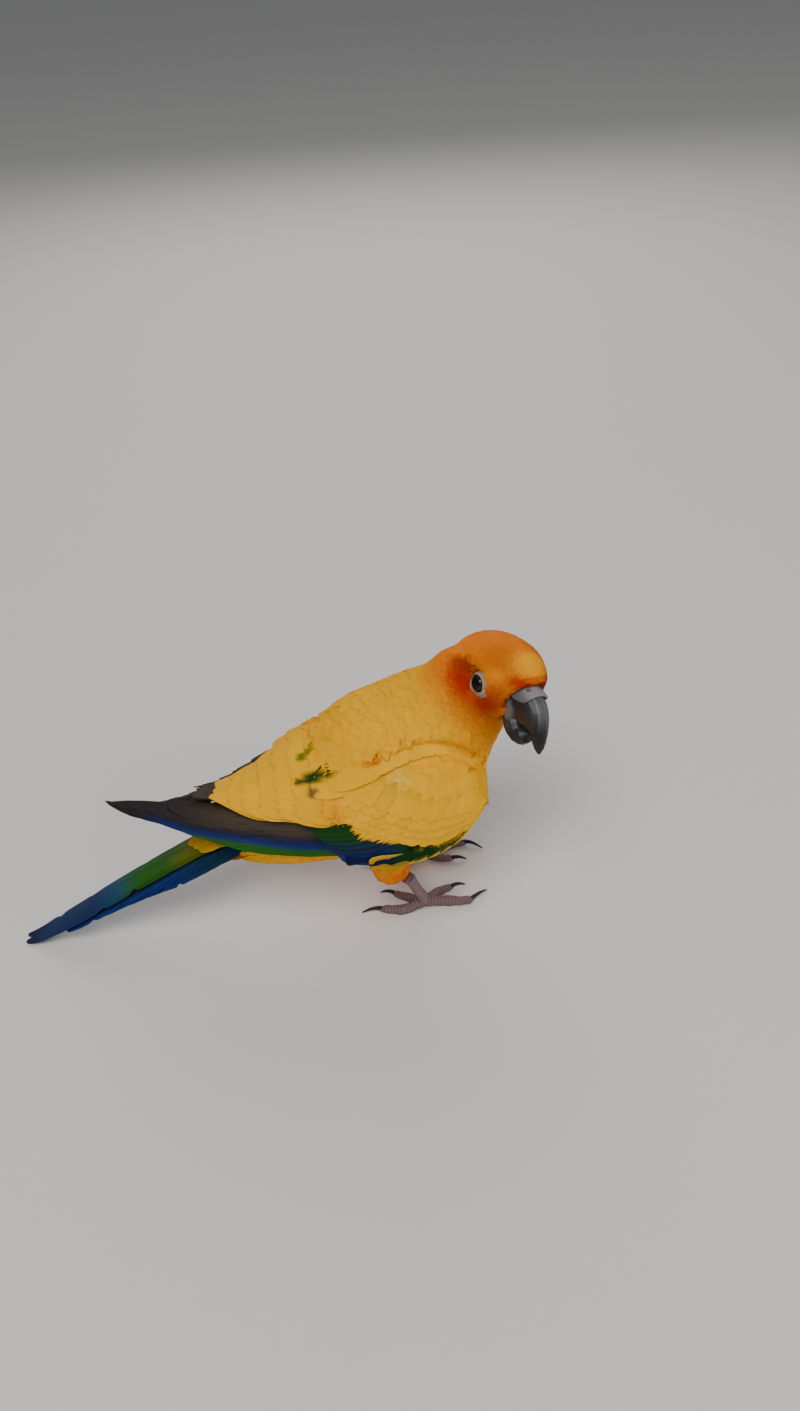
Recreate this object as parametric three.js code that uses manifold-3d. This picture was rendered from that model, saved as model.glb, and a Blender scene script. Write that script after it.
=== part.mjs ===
// Sun conure, a small long-tailed parrot, as a still life-size model. It stands on both feet with the
// tip of its tail on the floor, breast raised, wings folded, and the head turned to its right.
// Millimetres, +Z up, +X from tail to breast, +Y to the bird's left.
import * as THREE from 'three';
import { mergeVertices } from 'three/addons/utils/BufferGeometryUtils.js';
import Module from 'manifold-3d';

const wasm = await Module();
wasm.setup();

// Driving dimensions
const GAP = 0.3; // between touching nodes
const VANE = 0.52; // thickness of a feather's vane
const PITCH = 0.88; // from one overlapping vane to the next

// Axis of neck and trunk from the vent forwards: place, then size above, below and to each side
const TRUNK = [
  { x: -85, y: 0, z: 43, up: 3, down: 4, side: 5 },
  { x: -76, y: 0, z: 44, up: 9, down: 10, side: 11 },
  { x: -62, y: 0, z: 47.5, up: 18, down: 18, side: 17 },
  { x: -42, y: 0, z: 55, up: 28, down: 25, side: 23.5 },
  { x: -20, y: 0, z: 63.5, up: 37, down: 30, side: 27.5 },
  { x: 0, y: 0, z: 74, up: 39, down: 34, side: 29 },
  { x: 15, y: -1, z: 88, up: 32, down: 25, side: 26.5 },
  { x: 25, y: -3, z: 100, up: 25.5, down: 18.5, side: 20.5 },
  { x: 33, y: -3.8, z: 109, up: 23, down: 14, side: 13.6 },
  { x: 38, y: -6, z: 113, up: 15, down: 6, side: 6 },
];
const TRUNK_SQUARENESS = 2.25;
const NECK_CUT = { at: [19, -1, 88], toward: [0.6, -0.1, 0.8] };
const HEAD_CUT = { at: [30.5, -5.5, 102.5], toward: [0.55, -0.3, 0.78] };
const RUMP_CUT = { at: [-47, 0, 53], toward: [-0.94, 0, -0.34] };

// Head: place and turn, with sizes in its own frame (x to the bill, y left, z up)
const HEAD = { x: 40.4, y: -11.3, z: 115.9, yaw: -65, pitch: -10, roll: -17, scale: 1.14 };
const SKULL = { x: -4.2, z: 0.8, length: 19.9, side: 13.8, height: 15 };
const EYE = { x: -0.4, side: 9.9, z: 0.4, radius: 3.75 };
const LID = { radius: 3.55, thickness: 0.85, side: 11.9 };
const SOCKET = { radius: 6.6, depth: 1.7, side: 13.4 };
const BILL = {
  base: [7.5, 0, -4], crest: [16.6, 0, -0.2], hook: [20.2, 0, -10.2], tip: [20.7, 0, -18.8],
  side: 6.1, height: 6.4,
};
const JAW = {
  base: [5.6, 0, -9.8], chin: [9.6, 0, -19], tip: [14.9, 0, -13.4],
  side: 5.5, height: 4.4,
};
const CERE = { at: [11.5, 0, 3], size: [9.4, 7.4, 8.6], depth: 1.3, reach: 0.32 };
const NOSTRIL = { x: 14.6, side: 2.9, z: 2.6, radius: 0.95 };

// Folded wing: lower and upper edge of its outer face (distance from the middle, height), and its bulge
const WING_EDGES = [
  { x: -126, lowSide: 5, lowZ: 77, highSide: 4.5, highZ: 80, bulge: 0.4 },
  { x: -105, lowSide: 13, lowZ: 69.5, highSide: 6, highZ: 79.5, bulge: 1.2 },
  { x: -89, lowSide: 20, lowZ: 63.5, highSide: 8.5, highZ: 78, bulge: 2 },
  { x: -69, lowSide: 26, lowZ: 59.5, highSide: 14, highZ: 77.5, bulge: 3 },
  { x: -53, lowSide: 29.5, lowZ: 55.5, highSide: 19, highZ: 79, bulge: 4 },
  { x: -38, lowSide: 30.5, lowZ: 50.5, highSide: 22, highZ: 82, bulge: 5 },
  { x: -22, lowSide: 31.5, lowZ: 45.5, highSide: 22, highZ: 88.5, bulge: 6.5 },
  { x: -7, lowSide: 32, lowZ: 44.5, highSide: 21, highZ: 94.5, bulge: 7.5 },
  { x: 8, lowSide: 32.5, lowZ: 48.5, highSide: 20, highZ: 97, bulge: 7.5 },
  { x: 20, lowSide: 31, lowZ: 56, highSide: 21, highZ: 92, bulge: 6 },
  { x: 30, lowSide: 27, lowZ: 66, highSide: 23.5, highZ: 82, bulge: 3 },
];
const LEFT_WING_DROP = 9; // how much lower the left wing lies towards its tip
const LEFT_WING_TUCK = 9; // how much further forward its tip lies
const WING_DEPTH = 7.3;
const COVERT_DEPTH = 2.2;
const FLIGHT_LEVEL = -4.9;

// Flight feathers from the outermost primary inwards: x of each tip
const PRIMARY_TIPS = [-117, -124, -120, -112, -103, -94, -86];
const SECONDARY_TIPS = [-79, -76, -73, -71, -70];
const FLIGHT_PLACES = [-12, -31, -45, -58, -70, -84, -99, -113]; // x of the bends that all of them share
const FLIGHT_HALF_WIDTH = 4.6;
// Spread of the flight feathers at each x: distance between two, index of the middle one, share of tilt
const FLIGHT_SPREAD = [
  { x: -126, step: 0.9, middle: 1.4, tilt: 0.5 },
  { x: -105, step: 1.0, middle: 1.9, tilt: 0.6 },
  { x: -88, step: 1.35, middle: 3.2, tilt: 0.8 },
  { x: -70, step: 1.6, middle: 5, tilt: 1 },
  { x: -50, step: 1.85, middle: 5.4, tilt: 1 },
  { x: -28, step: 3.1, middle: 5.5, tilt: 1 },
  { x: 30, step: 3.1, middle: 5.5, tilt: 1 },
];

// Tail: its line from root to tip, and the feathers from the middle pair outwards
const TAIL_LINE = [
  { x: -50, y: 0, z: 62 },
  { x: -75, y: 0, z: 52 },
  { x: -97, y: 0, z: 42 },
  { x: -134, y: 0.6, z: 22.5 },
  { x: -158, y: 1.2, z: 8.6 },
  { x: -170, y: 1.8, z: 1.4 },
  { x: -181, y: 2.2, z: -1 },
];
const TAIL_FEATHERS = [
  { length: 138, side: 2.5, half: 5.0, splay: 0 },
  { length: 117, side: 4.9, half: 4.6, splay: 0 },
  { length: 101, side: 5.6, half: 4.3, splay: 0.2 },
  { length: 87, side: 6.2, half: 4.1, splay: 0.5 },
  { length: 76, side: 6.8, half: 3.9, splay: 0.8 },
  { length: 67, side: 7.3, half: 3.6, splay: 1.2 },
];
const TAIL_ROOF = 0.012; // how fast the tail's cross-section falls away to the sides
const FEATHER_STATIONS = [0, 0.14, 0.36, 0.6, 0.8, 0.94, 1]; // shares of a long feather's length
const COVERT_STATIONS = [0, 0.35, 0.75, 1];

// Legs: joints, then toes as the points that their line goes through
const LEGS = {
  right: { side: -1, foot: [2, -16, 4.2], ankle: [-4.5, -17.5, 21], hip: [-11, -16, 44] },
  left: { side: 1, foot: [6, 14.5, 4.2], ankle: [-1, 16, 21], hip: [-8, 15, 44] },
};
const TOES = {
  outer_front: { bend: [9.5, -1.2], end: [20.5, -2.6], claw: [29.4, 2.3], radius: 2.3 },
  inner_front: { bend: [8.5, 5.2], end: [14, 6.6], claw: [20.5, 7.6], radius: 2.0 },
  outer_rear: { bend: [-9.6, -2.3], end: [-19, 0.2], claw: [-28.3, 0.9], radius: 2.2 },
  inner_rear: { bend: [-7, 4.6], end: [-12, 8], claw: [-18.5, 11], radius: 1.9 },
};

const mix = (a, b, t) => a + (b - a) * t;
const clamp = (v, low, high) => Math.min(high, Math.max(low, v));
const smooth = (v) => v * v * (3 - 2 * v);
const ramp = (v, from, to) => smooth(clamp((v - from) / (to - from), 0, 1));
const radians = THREE.MathUtils.degToRad;
const vec = (x, y, z) => new THREE.Vector3(x, y, z);

// Smooth value at x of one key of a table whose rows rise in x
function valueAt(rows, key, x) {
  const last = rows.length - 1;
  let i = 0;
  while (i < last - 1 && x > rows[i + 1].x) i += 1;
  const slope = (k) => {
    const a = rows[Math.max(k - 1, 0)];
    const b = rows[Math.min(k + 1, last)];
    return (b[key] - a[key]) / (b.x - a.x);
  };
  const span = rows[i + 1].x - rows[i].x;
  const u = clamp((x - rows[i].x) / span, 0, 1);
  const u2 = u * u;
  const u3 = u2 * u;
  return rows[i][key] * (2 * u3 - 3 * u2 + 1) + slope(i) * span * (u3 - 2 * u2 + u)
    + rows[i + 1][key] * (3 * u2 - 2 * u3) + slope(i + 1) * span * (u3 - u2);
}

// Closed meshes to solids and back
function solid(geometry) {
  const bare = geometry.clone();
  bare.deleteAttribute('normal');
  bare.deleteAttribute('uv');
  const merged = mergeVertices(bare, 1e-4);
  const index = Uint32Array.from(merged.index.array);
  const place = merged.attributes.position;
  let volume = 0;
  const corner = (n) => vec(0, 0, 0).fromBufferAttribute(place, index[n]);
  for (let n = 0; n < index.length; n += 3) {
    volume += corner(n).dot(corner(n + 1).cross(corner(n + 2)));
  }
  if (volume < 0) {
    for (let n = 0; n < index.length; n += 3) {
      [index[n], index[n + 1]] = [index[n + 1], index[n]];
    }
  }
  const vertProperties = Float32Array.from(place.array);
  return new wasm.Manifold(new wasm.Mesh({ numProp: 3, vertProperties, triVerts: index }));
}

function largest(shape) {
  const pieces = shape.decompose();
  return pieces.reduce((best, piece) => (piece.volume() > best.volume() ? piece : best));
}

function union(shapes) {
  return shapes.reduce((all, shape) => all.add(shape));
}

function geometryOf(shape) {
  const mesh = shape.getMesh();
  const geometry = new THREE.BufferGeometry();
  geometry.setAttribute('position', new THREE.BufferAttribute(mesh.vertProperties, 3));
  geometry.setIndex(new THREE.BufferAttribute(mesh.triVerts, 1));
  geometry.computeVertexNormals();
  return geometry;
}

// Solid between two alike grids of points: at(u, v, side) with side 1 on top and -1 below.
// Both faces are split along the same diagonals.
function slab(countU, countV, at) {
  const points = [];
  const index = [];
  const id = (i, j, top) => (i * countV + j) * 2 + (top ? 0 : 1);
  for (let i = 0; i < countU; i += 1) {
    for (let j = 0; j < countV; j += 1) {
      for (const side of [1, -1]) {
        points.push(...at(i / (countU - 1), j / (countV - 1), side).toArray());
      }
    }
  }
  for (let i = 0; i < countU - 1; i += 1) {
    for (let j = 0; j < countV - 1; j += 1) {
      const top = [id(i, j, 1), id(i, j + 1, 1), id(i + 1, j + 1, 1), id(i + 1, j, 1)];
      index.push(top[0], top[1], top[2], top[0], top[2], top[3]);
      index.push(top[0] + 1, top[2] + 1, top[1] + 1, top[0] + 1, top[3] + 1, top[2] + 1);
    }
    const rims = [[id(i, 0, 1), id(i + 1, 0, 1)], [id(i + 1, countV - 1, 1), id(i, countV - 1, 1)]];
    for (const [a, b] of rims) {
      index.push(a, b, b + 1, a, b + 1, a + 1);
    }
  }
  for (let j = 0; j < countV - 1; j += 1) {
    const rims = [[id(0, j + 1, 1), id(0, j, 1)], [id(countU - 1, j, 1), id(countU - 1, j + 1, 1)]];
    for (const [a, b] of rims) {
      index.push(a, b, b + 1, a, b + 1, a + 1);
    }
  }
  return meshFrom(points, index);
}

function meshFrom(points, index) {
  const geometry = new THREE.BufferGeometry();
  geometry.setAttribute('position', new THREE.Float32BufferAttribute(points, 3));
  geometry.setIndex(index);
  return geometry;
}

// Closed skin over rings of points: at(u, angle) for u from 0 to 1, with a fan over each end
function loft(countU, countV, at) {
  const points = [];
  const index = [];
  for (let i = 0; i < countU; i += 1) {
    for (let j = 0; j < countV; j += 1) {
      points.push(...at(i / (countU - 1), (j / countV) * 2 * Math.PI).toArray());
    }
  }
  for (let i = 0; i < countU - 1; i += 1) {
    for (let j = 0; j < countV; j += 1) {
      const next = (j + 1) % countV;
      const a = i * countV + j;
      const b = i * countV + next;
      index.push(a, b, b + countV, a, b + countV, a + countV);
    }
  }
  for (const end of [0, countU - 1]) {
    const ring = Array.from({ length: countV }, (_, j) => (end * countV + j) * 3);
    const middle = [0, 1, 2].map((k) => ring.reduce((sum, r) => sum + points[r + k], 0) / countV);
    points.push(...middle);
    const centre = points.length / 3 - 1;
    for (let j = 0; j < countV; j += 1) {
      const a = end * countV + j;
      const b = end * countV + ((j + 1) % countV);
      index.push(...(end === 0 ? [b, a, centre] : [a, b, centre]));
    }
  }
  return meshFrom(points, index);
}

// Round limb along a curve: radius(u) gives its size across and along `up`
function limb(curve, countU, countV, radius, up = vec(0, 0, 1)) {
  return loft(countU, countV, (u, angle) => {
    const centre = curve.getPointAt(clamp(u, 0, 1));
    const ahead = curve.getTangentAt(clamp(u, 0, 1));
    const across = vec(0, 0, 0).crossVectors(up, ahead).normalize();
    const above = vec(0, 0, 0).crossVectors(ahead, across);
    const size = radius(u, angle);
    return centre.addScaledVector(across, Math.cos(angle) * size[0])
      .addScaledVector(above, Math.sin(angle) * size[1]);
  });
}

// Size along a limb that is round at both ends
function roundEnds(u, nose) {
  const near = Math.min(u, 1 - u) / nose;
  return near >= 1 ? 1 : Math.sqrt(Math.max(1 - (1 - near) ** 2, 0.02));
}

// Trunk and neck as one skin, grown by `extra`
function trunk(extra = 0, ringCount = 24, sideCount = 26) {
  const line = new THREE.CatmullRomCurve3(TRUNK.map((row) => vec(row.x, row.y, row.z)));
  const rows = TRUNK.map((row, n) => ({ ...row, x: n / (TRUNK.length - 1) }));
  const power = 2 / TRUNK_SQUARENESS;
  return loft(ringCount, sideCount, (u, angle) => {
    const centre = line.getPoint(u);
    const ahead = line.getTangent(u);
    const across = vec(0, 0, 1).cross(ahead).normalize();
    const above = vec(0, 0, 0).crossVectors(ahead, across);
    const c = Math.cos(angle);
    const s = Math.sin(angle);
    const height = valueAt(rows, s > 0 ? 'up' : 'down', u) + extra;
    const side = valueAt(rows, 'side', u) + extra;
    return centre.addScaledVector(across, Math.sign(c) * Math.abs(c) ** power * side)
      .addScaledVector(above, Math.sign(s) * Math.abs(s) ** power * height);
  });
}

// The head's own frame
const headFrame = new THREE.Matrix4().compose(
  vec(HEAD.x, HEAD.y, HEAD.z),
  new THREE.Quaternion().setFromEuler(
    new THREE.Euler(radians(HEAD.roll), radians(HEAD.pitch), radians(HEAD.yaw), 'ZYX'),
  ),
  vec(HEAD.scale, HEAD.scale, HEAD.scale),
);

function bump(point, centre, reach) {
  return Math.exp(-point.distanceToSquared(vec(...centre)) / (reach * reach));
}

// Where the feathered skull stands proud of a plain egg, or lies back from the bill, on both sides
const SWELLS = [
  { size: 2, at: [13, 0, 8], reach: 7 }, // forehead
  { size: 1.5, at: [-15, 8, 6], reach: 8 }, // back of the crown
  { size: 1.2, at: [3, 9, -9], reach: 6.5 }, // cheek
  { size: -2.6, at: [12, 6, -7], reach: 6 }, // corner of the mouth
  { size: 0.8, at: [6, 0, -14], reach: 6 }, // chin
  { size: 0.8, at: [2, 9, 8], reach: 5 }, // brow
];

// Skull with its feathers, a little fuller at the nape's left, where the turned head folds them
function skull() {
  const geometry = new THREE.SphereGeometry(1, 28, 20);
  const place = geometry.attributes.position;
  const point = vec(0, 0, 0);
  for (let n = 0; n < place.count; n += 1) {
    point.fromBufferAttribute(place, n);
    const out = point.clone();
    point.set(SKULL.x + point.x * SKULL.length, point.y * SKULL.side, SKULL.z + point.z * SKULL.height);
    const swell = SWELLS.reduce((sum, { size, at, reach }) => {
      const nearer = bump(point, [at[0], Math.sign(point.y) * at[1], at[2]], reach);
      return sum + size * nearer;
    }, 3.6 * bump(point, [-20, 4, 1], 9));
    point.addScaledVector(out, swell);
    place.setXYZ(n, point.x, point.y, point.z);
  }
  return geometry;
}

function ball(centre, size, count = 20) {
  const geometry = new THREE.SphereGeometry(1, count, Math.round(count * 0.7));
  return geometry.scale(...size).translate(...centre);
}

// Upper bill: a hook that bends through a quarter turn, with a blunt keel along the culmen
function upperBill(extra = 0, from = 0, to = 1, rings = 12) {
  const stops = [BILL.base, BILL.crest, BILL.hook, BILL.tip];
  const line = new THREE.CubicBezierCurve3(...stops.map((stop) => vec(...stop)));
  const up = vec(0, 1, 0);
  return limb(sub(line, from, to), rings, 14, (u) => {
    const s = mix(from, to, u);
    const fall = Math.max(1 - s, 0) ** 0.62;
    const side = mix(0.35, BILL.side, fall) + extra;
    const height = mix(0.4, BILL.height, fall) + extra;
    return [height, side];
  }, up);
}

// Stretch of a curve between two shares of its length
function sub(curve, from, to) {
  const points = Array.from({ length: 17 }, (_, n) => curve.getPointAt(mix(from, to, n / 16)));
  return new THREE.CatmullRomCurve3(points);
}

// Lower bill: a short scoop that closes behind the hook
function lowerBill(extra = 0) {
  const line = new THREE.QuadraticBezierCurve3(vec(...JAW.base), vec(...JAW.chin), vec(...JAW.tip));
  return limb(line, 8, 12, (u) => {
    const end = roundEnds(clamp(u, 0.12, 1), 0.24);
    const narrow = mix(1, 0.72, u) * end;
    return [JAW.height * narrow + extra, JAW.side * narrow + extra];
  }, vec(0, 1, 0));
}

function inHead(geometry) {
  return solid(geometry.applyMatrix4(headFrame));
}

// Soft skin over the root of the upper bill
function cere(extra = 0) {
  const sleeve = upperBill(CERE.depth + extra, 0, CERE.reach, 4);
  const cap = ball(CERE.at, CERE.size.map((size) => size + extra), 12);
  return inHead(sleeve).intersect(inHead(cap));
}

function nostril(side) {
  const { x, z, radius } = NOSTRIL;
  return inHead(ball([x, side * NOSTRIL.side, z], [radius, radius, radius], 8));
}

// Lid ring round one eye, leaning a little forwards
function lid(side) {
  const ring = new THREE.TorusGeometry(LID.radius, LID.thickness, 6, 14);
  ring.rotateX(Math.PI / 2).scale(1.12, 1.25, 1).rotateZ(radians(side * 9)).rotateY(radians(12));
  return ring.translate(EYE.x, side * LID.side, EYE.z);
}

function buildHead() {
  const gap = GAP / HEAD.scale;
  const upper = inHead(upperBill());
  const upperRoom = inHead(upperBill(gap));
  const jaw = largest(inHead(lowerBill()).subtract(upperRoom));
  const skin = largest(cere().subtract(upperRoom).subtract(nostril(-1)).subtract(nostril(1)));
  let taken = upperRoom.add(inHead(lowerBill(gap))).add(cere(gap));
  let head = inHead(skull());
  const eyes = {};
  for (const [name, side] of [['right', -1], ['left', 1]]) {
    const eye = (size) => inHead(ball([EYE.x, side * EYE.side, EYE.z], [size, size, size], 13));
    const hollow = [SOCKET.radius * 1.1, SOCKET.depth, SOCKET.radius];
    const socket = ball([EYE.x, side * SOCKET.side, EYE.z], hollow, 14);
    head = head.subtract(inHead(socket)).add(inHead(lid(side)));
    taken = taken.add(eye(EYE.radius + gap));
    eyes[name] = eye(EYE.radius);
  }
  return { head: head.subtract(taken), taken, eyes, upper, jaw, cere: skin };
}

// Outer face of a folded wing: point at x, at a share of its height and a depth below the face
function wingFace(side) {
  const read = (key, x) => valueAt(WING_EDGES, key, clamp(x, -126, 30));
  const lies = (x, amount, from, to) => (side > 0 ? amount * ramp(-x, from, to) : 0);
  const drop = (x) => lies(x, LEFT_WING_DROP, 30, 88);
  const low = (x) => [read('lowSide', x), read('lowZ', x) - drop(x)];
  const high = (x) => [read('highSide', x), read('highZ', x) - drop(x)];
  const height = (x) => Math.hypot(high(x)[0] - low(x)[0], high(x)[1] - low(x)[1]);
  const at = (x, share, depth) => {
    const [a, b] = [low(x), high(x)];
    const run = [(b[0] - a[0]) / height(x), (b[1] - a[1]) / height(x)];
    const out = read('bulge', x) * 4 * share * (1 - share);
    const turn = Math.atan((read('bulge', x) * 4 * (1 - 2 * share)) / height(x));
    const [c, s] = [Math.cos(turn), Math.sin(turn)];
    const lean = [run[1] * c - run[0] * s, -run[0] * c - run[1] * s];
    const y = mix(a[0], b[0], share) + run[1] * out + lean[0] * depth;
    const z = mix(a[1], b[1], share) - run[0] * out + lean[1] * depth;
    return vec(x + lies(x, LEFT_WING_TUCK, 50, 126), side * y, z);
  };
  return { at, height };
}

// Plate that follows the wing between two x, two shares of its height and two depths, thinner at its rims
function wingPlate(face, box, countU, countV, rim = 1) {
  return slab(countU, countV, (u, v, top) => {
    const x = mix(box.front, box.back, u);
    const share = mix(box.low(x), box.high(x), v);
    const near = Math.min(v, 1 - v) * face.height(x) * (box.high(x) - box.low(x));
    const frontNear = (box.front - x) * 0.8;
    const edge = Math.min(near, box.roundFront ? frontNear : near, 3.2) / 3.2;
    const worn = rim * (1 - Math.sqrt(Math.max(edge * (2 - edge), 0)));
    const inner = box.inner(x);
    const depth = top > 0 ? mix(box.outer, inner, worn * 0.55) : mix(inner, box.outer, worn * 0.2);
    return face.at(x, share, depth);
  });
}

// Half-width of a feather along its length: narrow quill, full vane, round tip
function vaneWidth(u, quillEnd, tipStart, tipShare) {
  if (u < quillEnd) return mix(0.24, 1, ramp(u, 0, quillEnd));
  const t = clamp((u - tipStart) / (1 - tipStart), 0, 1);
  return mix(1, tipShare, t ** 2.3);
}

// One flight feather of the folded wing; index counts from the outermost primary
function flightFeather(face, index, tipX) {
  const places = [...FLIGHT_PLACES.filter((x) => x > tipX + 8), tipX + 4.5, tipX + 1, tipX];
  return slab(places.length, 3, (u, v, top) => {
    const x = places[Math.round(u * (places.length - 1))];
    const step = valueAt(FLIGHT_SPREAD, 'step', x);
    const middle = valueAt(FLIGHT_SPREAD, 'middle', x);
    const tilt = (valueAt(FLIGHT_SPREAD, 'tilt', x) * PITCH) / step;
    const fromTip = clamp((x - tipX) / 17, 0, 1);
    const round = mix(0.2, 1, Math.sqrt(fromTip * (2 - fromTip)));
    const width = mix(1, FLIGHT_HALF_WIDTH, ramp(-x, 30, 60)) * round;
    const aside = (v - 0.5) * 2 * width;
    const along = (index - middle) * step + aside;
    const centre = face.height(x) / 2;
    const depth = FLIGHT_LEVEL + (index - middle) * PITCH - tilt * along + (top * VANE) / 2;
    return face.at(x, (centre + along) / face.height(x), depth);
  });
}

// One covert that lies on the wing face from root to tip, both given as x and share of the height
function covert(face, root, tip, half, level, tilt) {
  return slab(COVERT_STATIONS.length, 3, (u, v, top) => {
    const share = COVERT_STATIONS[Math.round(u * (COVERT_STATIONS.length - 1))];
    const x = mix(root[0], tip[0], share);
    const place = mix(root[1], tip[1], share);
    const run = vec(tip[0] - root[0], (tip[1] - root[1]) * face.height(x), 0).normalize();
    const width = half * vaneWidth(share, 0.3, 0.5, 0.3);
    const aside = (v - 0.5) * 2 * width;
    const depth = level - tilt * aside + (top * VANE) / 2;
    return face.at(x + run.y * aside, place + (-run.x * aside) / face.height(x), depth);
  });
}

// Coverts round the lower and rear rim of the wing's small-feathered part
function rimCoverts(face) {
  const count = 12;
  const tilt = PITCH / 6.6;
  return Array.from({ length: count }, (_, n) => {
    const s = n / (count - 1);
    const lower = ramp(s, 0.42, 0.62);
    const along = mix(23, -24, clamp(s / 0.5, 0, 1));
    const climb = mix(0.2, 0.93, clamp((s - 0.5) / 0.5, 0, 1));
    const root = [mix(along + 3, -20, lower), mix(0.36, climb, lower)];
    const tip = [mix(along - 12, -46 + 6 * climb, lower), mix(0.02, climb - 0.1, lower)];
    return covert(face, root, tip, 5, -1.1, tilt);
  });
}

function wingRoom(face, extra) {
  const beside = (x) => (extra + 0.4) / face.height(x);
  const inner = (x) => -WING_DEPTH - extra - mix(0.2, 1, ramp(-x, 28, 40));
  const above = (x) => (4 * ramp(-x, 26, 42)) / face.height(x);
  const low = (x) => -beside(x);
  const high = (x) => 1 + beside(x) + above(x);
  const box = { front: 30 + extra, back: -128, outer: 14, inner, low, high };
  return solid(wingPlate(face, box, 21, 8, 0));
}

function buildWing(side) {
  const face = wingFace(side);
  const under = -COVERT_DEPTH - GAP - 0.15;
  const root = (low, high) => ({ front: 25, back: -31, outer: under, inner: () => -WING_DEPTH, low, high });
  const split = (x) => (face.height(x) / 2 + 1 * valueAt(FLIGHT_SPREAD, 'step', x)) / face.height(x);
  const gap = (x) => GAP / 2 / face.height(x);
  const hand = solid(wingPlate(face, root(() => 0.03, (x) => split(x) - gap(x)), 8, 4));
  const arm = solid(wingPlate(face, root((x) => split(x) + gap(x), () => 0.97), 8, 4));
  const primaries = PRIMARY_TIPS.map((tip, n) => solid(flightFeather(face, n, tip)));
  const first = PRIMARY_TIPS.length + 0.15;
  const secondaries = SECONDARY_TIPS.map((tip, n) => solid(flightFeather(face, first + n, tip)));
  const cover = {
    front: 30, back: -31, outer: 0, inner: () => -COVERT_DEPTH,
    low: (x) => mix(0.2, 0.02, ramp(x, 18, 32)), high: () => 1, roundFront: true,
  };
  const coverts = solid(wingPlate(face, cover, 10, 7));
  return {
    face,
    coverts: largest(union([coverts, ...rimCoverts(face).map(solid)])),
    primaries: largest(union([hand, ...primaries])),
    secondaries: largest(union([arm, ...secondaries])),
  };
}

// Tail frame: point at a distance along its line, to one side, and above or below it
const tailLine = new THREE.CatmullRomCurve3(TAIL_LINE.map((row) => vec(row.x, row.y, row.z)));
const tailLength = tailLine.getLength();

function tailPoint(distance, aside, level) {
  const share = clamp(distance / tailLength, 0, 1);
  const centre = tailLine.getPointAt(share);
  const ahead = tailLine.getTangentAt(share);
  const above = vec(ahead.z, 0, -ahead.x).normalize();
  const flat = ramp(distance, tailLength - 30, tailLength - 10);
  const fall = TAIL_ROOF * aside * aside * (1 - flat);
  return centre.add(vec(0, aside, 0)).addScaledVector(above, level - fall);
}

// One tail feather: order 0 is the middle pair, side -1 the right
function tailFeather(order, side) {
  const row = TAIL_FEATHERS[order];
  const layer = order === 0 ? (side < 0 ? 0 : -1) : -1 - order;
  return slab(FEATHER_STATIONS.length, 3, (u, v, top) => {
    const share = FEATHER_STATIONS[Math.round(u * (FEATHER_STATIONS.length - 1))];
    const distance = mix(2.5, 2.5 + row.length, share);
    const width = row.half * vaneWidth(share, 0.14, 0.6, 0.12);
    const rise = order === 0 ? ramp(share, 0.75, 0.98) : 0;
    const centre = side * mix(row.side * mix(0.55, 1, ramp(share, 0, 0.2)) + row.splay * share, 2.2, rise);
    const level = mix(layer * PITCH, side < 0 ? PITCH : 0, rise) + (top * VANE) / 2;
    const point = tailPoint(distance, centre + (v - 0.5) * 2 * width, level);
    return point.setZ(Math.max(point.z, top > 0 ? VANE : 0));
  });
}

function buildTail() {
  const root = slab(4, 5, (u, v, top) => tailPoint(mix(1.5, 14, u), mix(-11, 11, v), top > 0 ? 0.6 : -5.9));
  const pair = (_, order) => [solid(tailFeather(order, -1)), solid(tailFeather(order, 1))];
  return largest(union([solid(root), ...TAIL_FEATHERS.flatMap(pair)]));
}

// Room that the tail takes out of the rump, and the coverts over and under it
function tailRoom() {
  return solid(slab(7, 5, (u, v, top) => tailPoint(mix(1.2, 90, u), mix(-17, 17, v), top > 0 ? 0.9 : -6.2)));
}

function tailCovert(start, length, aside, half, level) {
  return slab(COVERT_STATIONS.length, 3, (u, v, top) => {
    const share = COVERT_STATIONS[Math.round(u * (COVERT_STATIONS.length - 1))];
    const width = half * vaneWidth(share, 0.3, 0.5, 0.3);
    const settle = (level > 0 ? -0.5 : 0.5) * share;
    const across = aside + (v - 0.5) * 2 * width;
    return tailPoint(start + length * share, across, level + settle + (top * VANE) / 2);
  });
}

function buildRump(rear) {
  const row = [-1.5, -0.5, 0.5, 1.5];
  const length = (n) => 30 - 2.5 * Math.abs(n);
  const above = row.map((n, k) => tailCovert(16, length(n), n * 5.4, 4.4, 2.1 + (k % 2) * PITCH));
  const below = row.map((n, k) => tailCovert(16, length(n), n * 5.2, 4.2, -7.7 - (k % 2) * PITCH));
  const pieces = [...above, ...below].map(solid);
  return largest(rear.subtract(tailRoom()).add(union(pieces)));
}

// Leg parts
function thigh(leg) {
  const line = new THREE.CatmullRomCurve3([
    vec(...leg.hip),
    vec(leg.hip[0] - 1, leg.hip[1], 32),
    vec(leg.ankle[0] - 6, leg.ankle[1], leg.ankle[2] - 1.5),
  ]);
  return limb(line, 8, 14, (u) => {
    const end = roundEnds(clamp(u, 0.1, 1), 0.3);
    return [mix(9.5, 6, u) * end, mix(12, 8, u) * end];
  }, vec(1, 0, 0));
}

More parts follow.
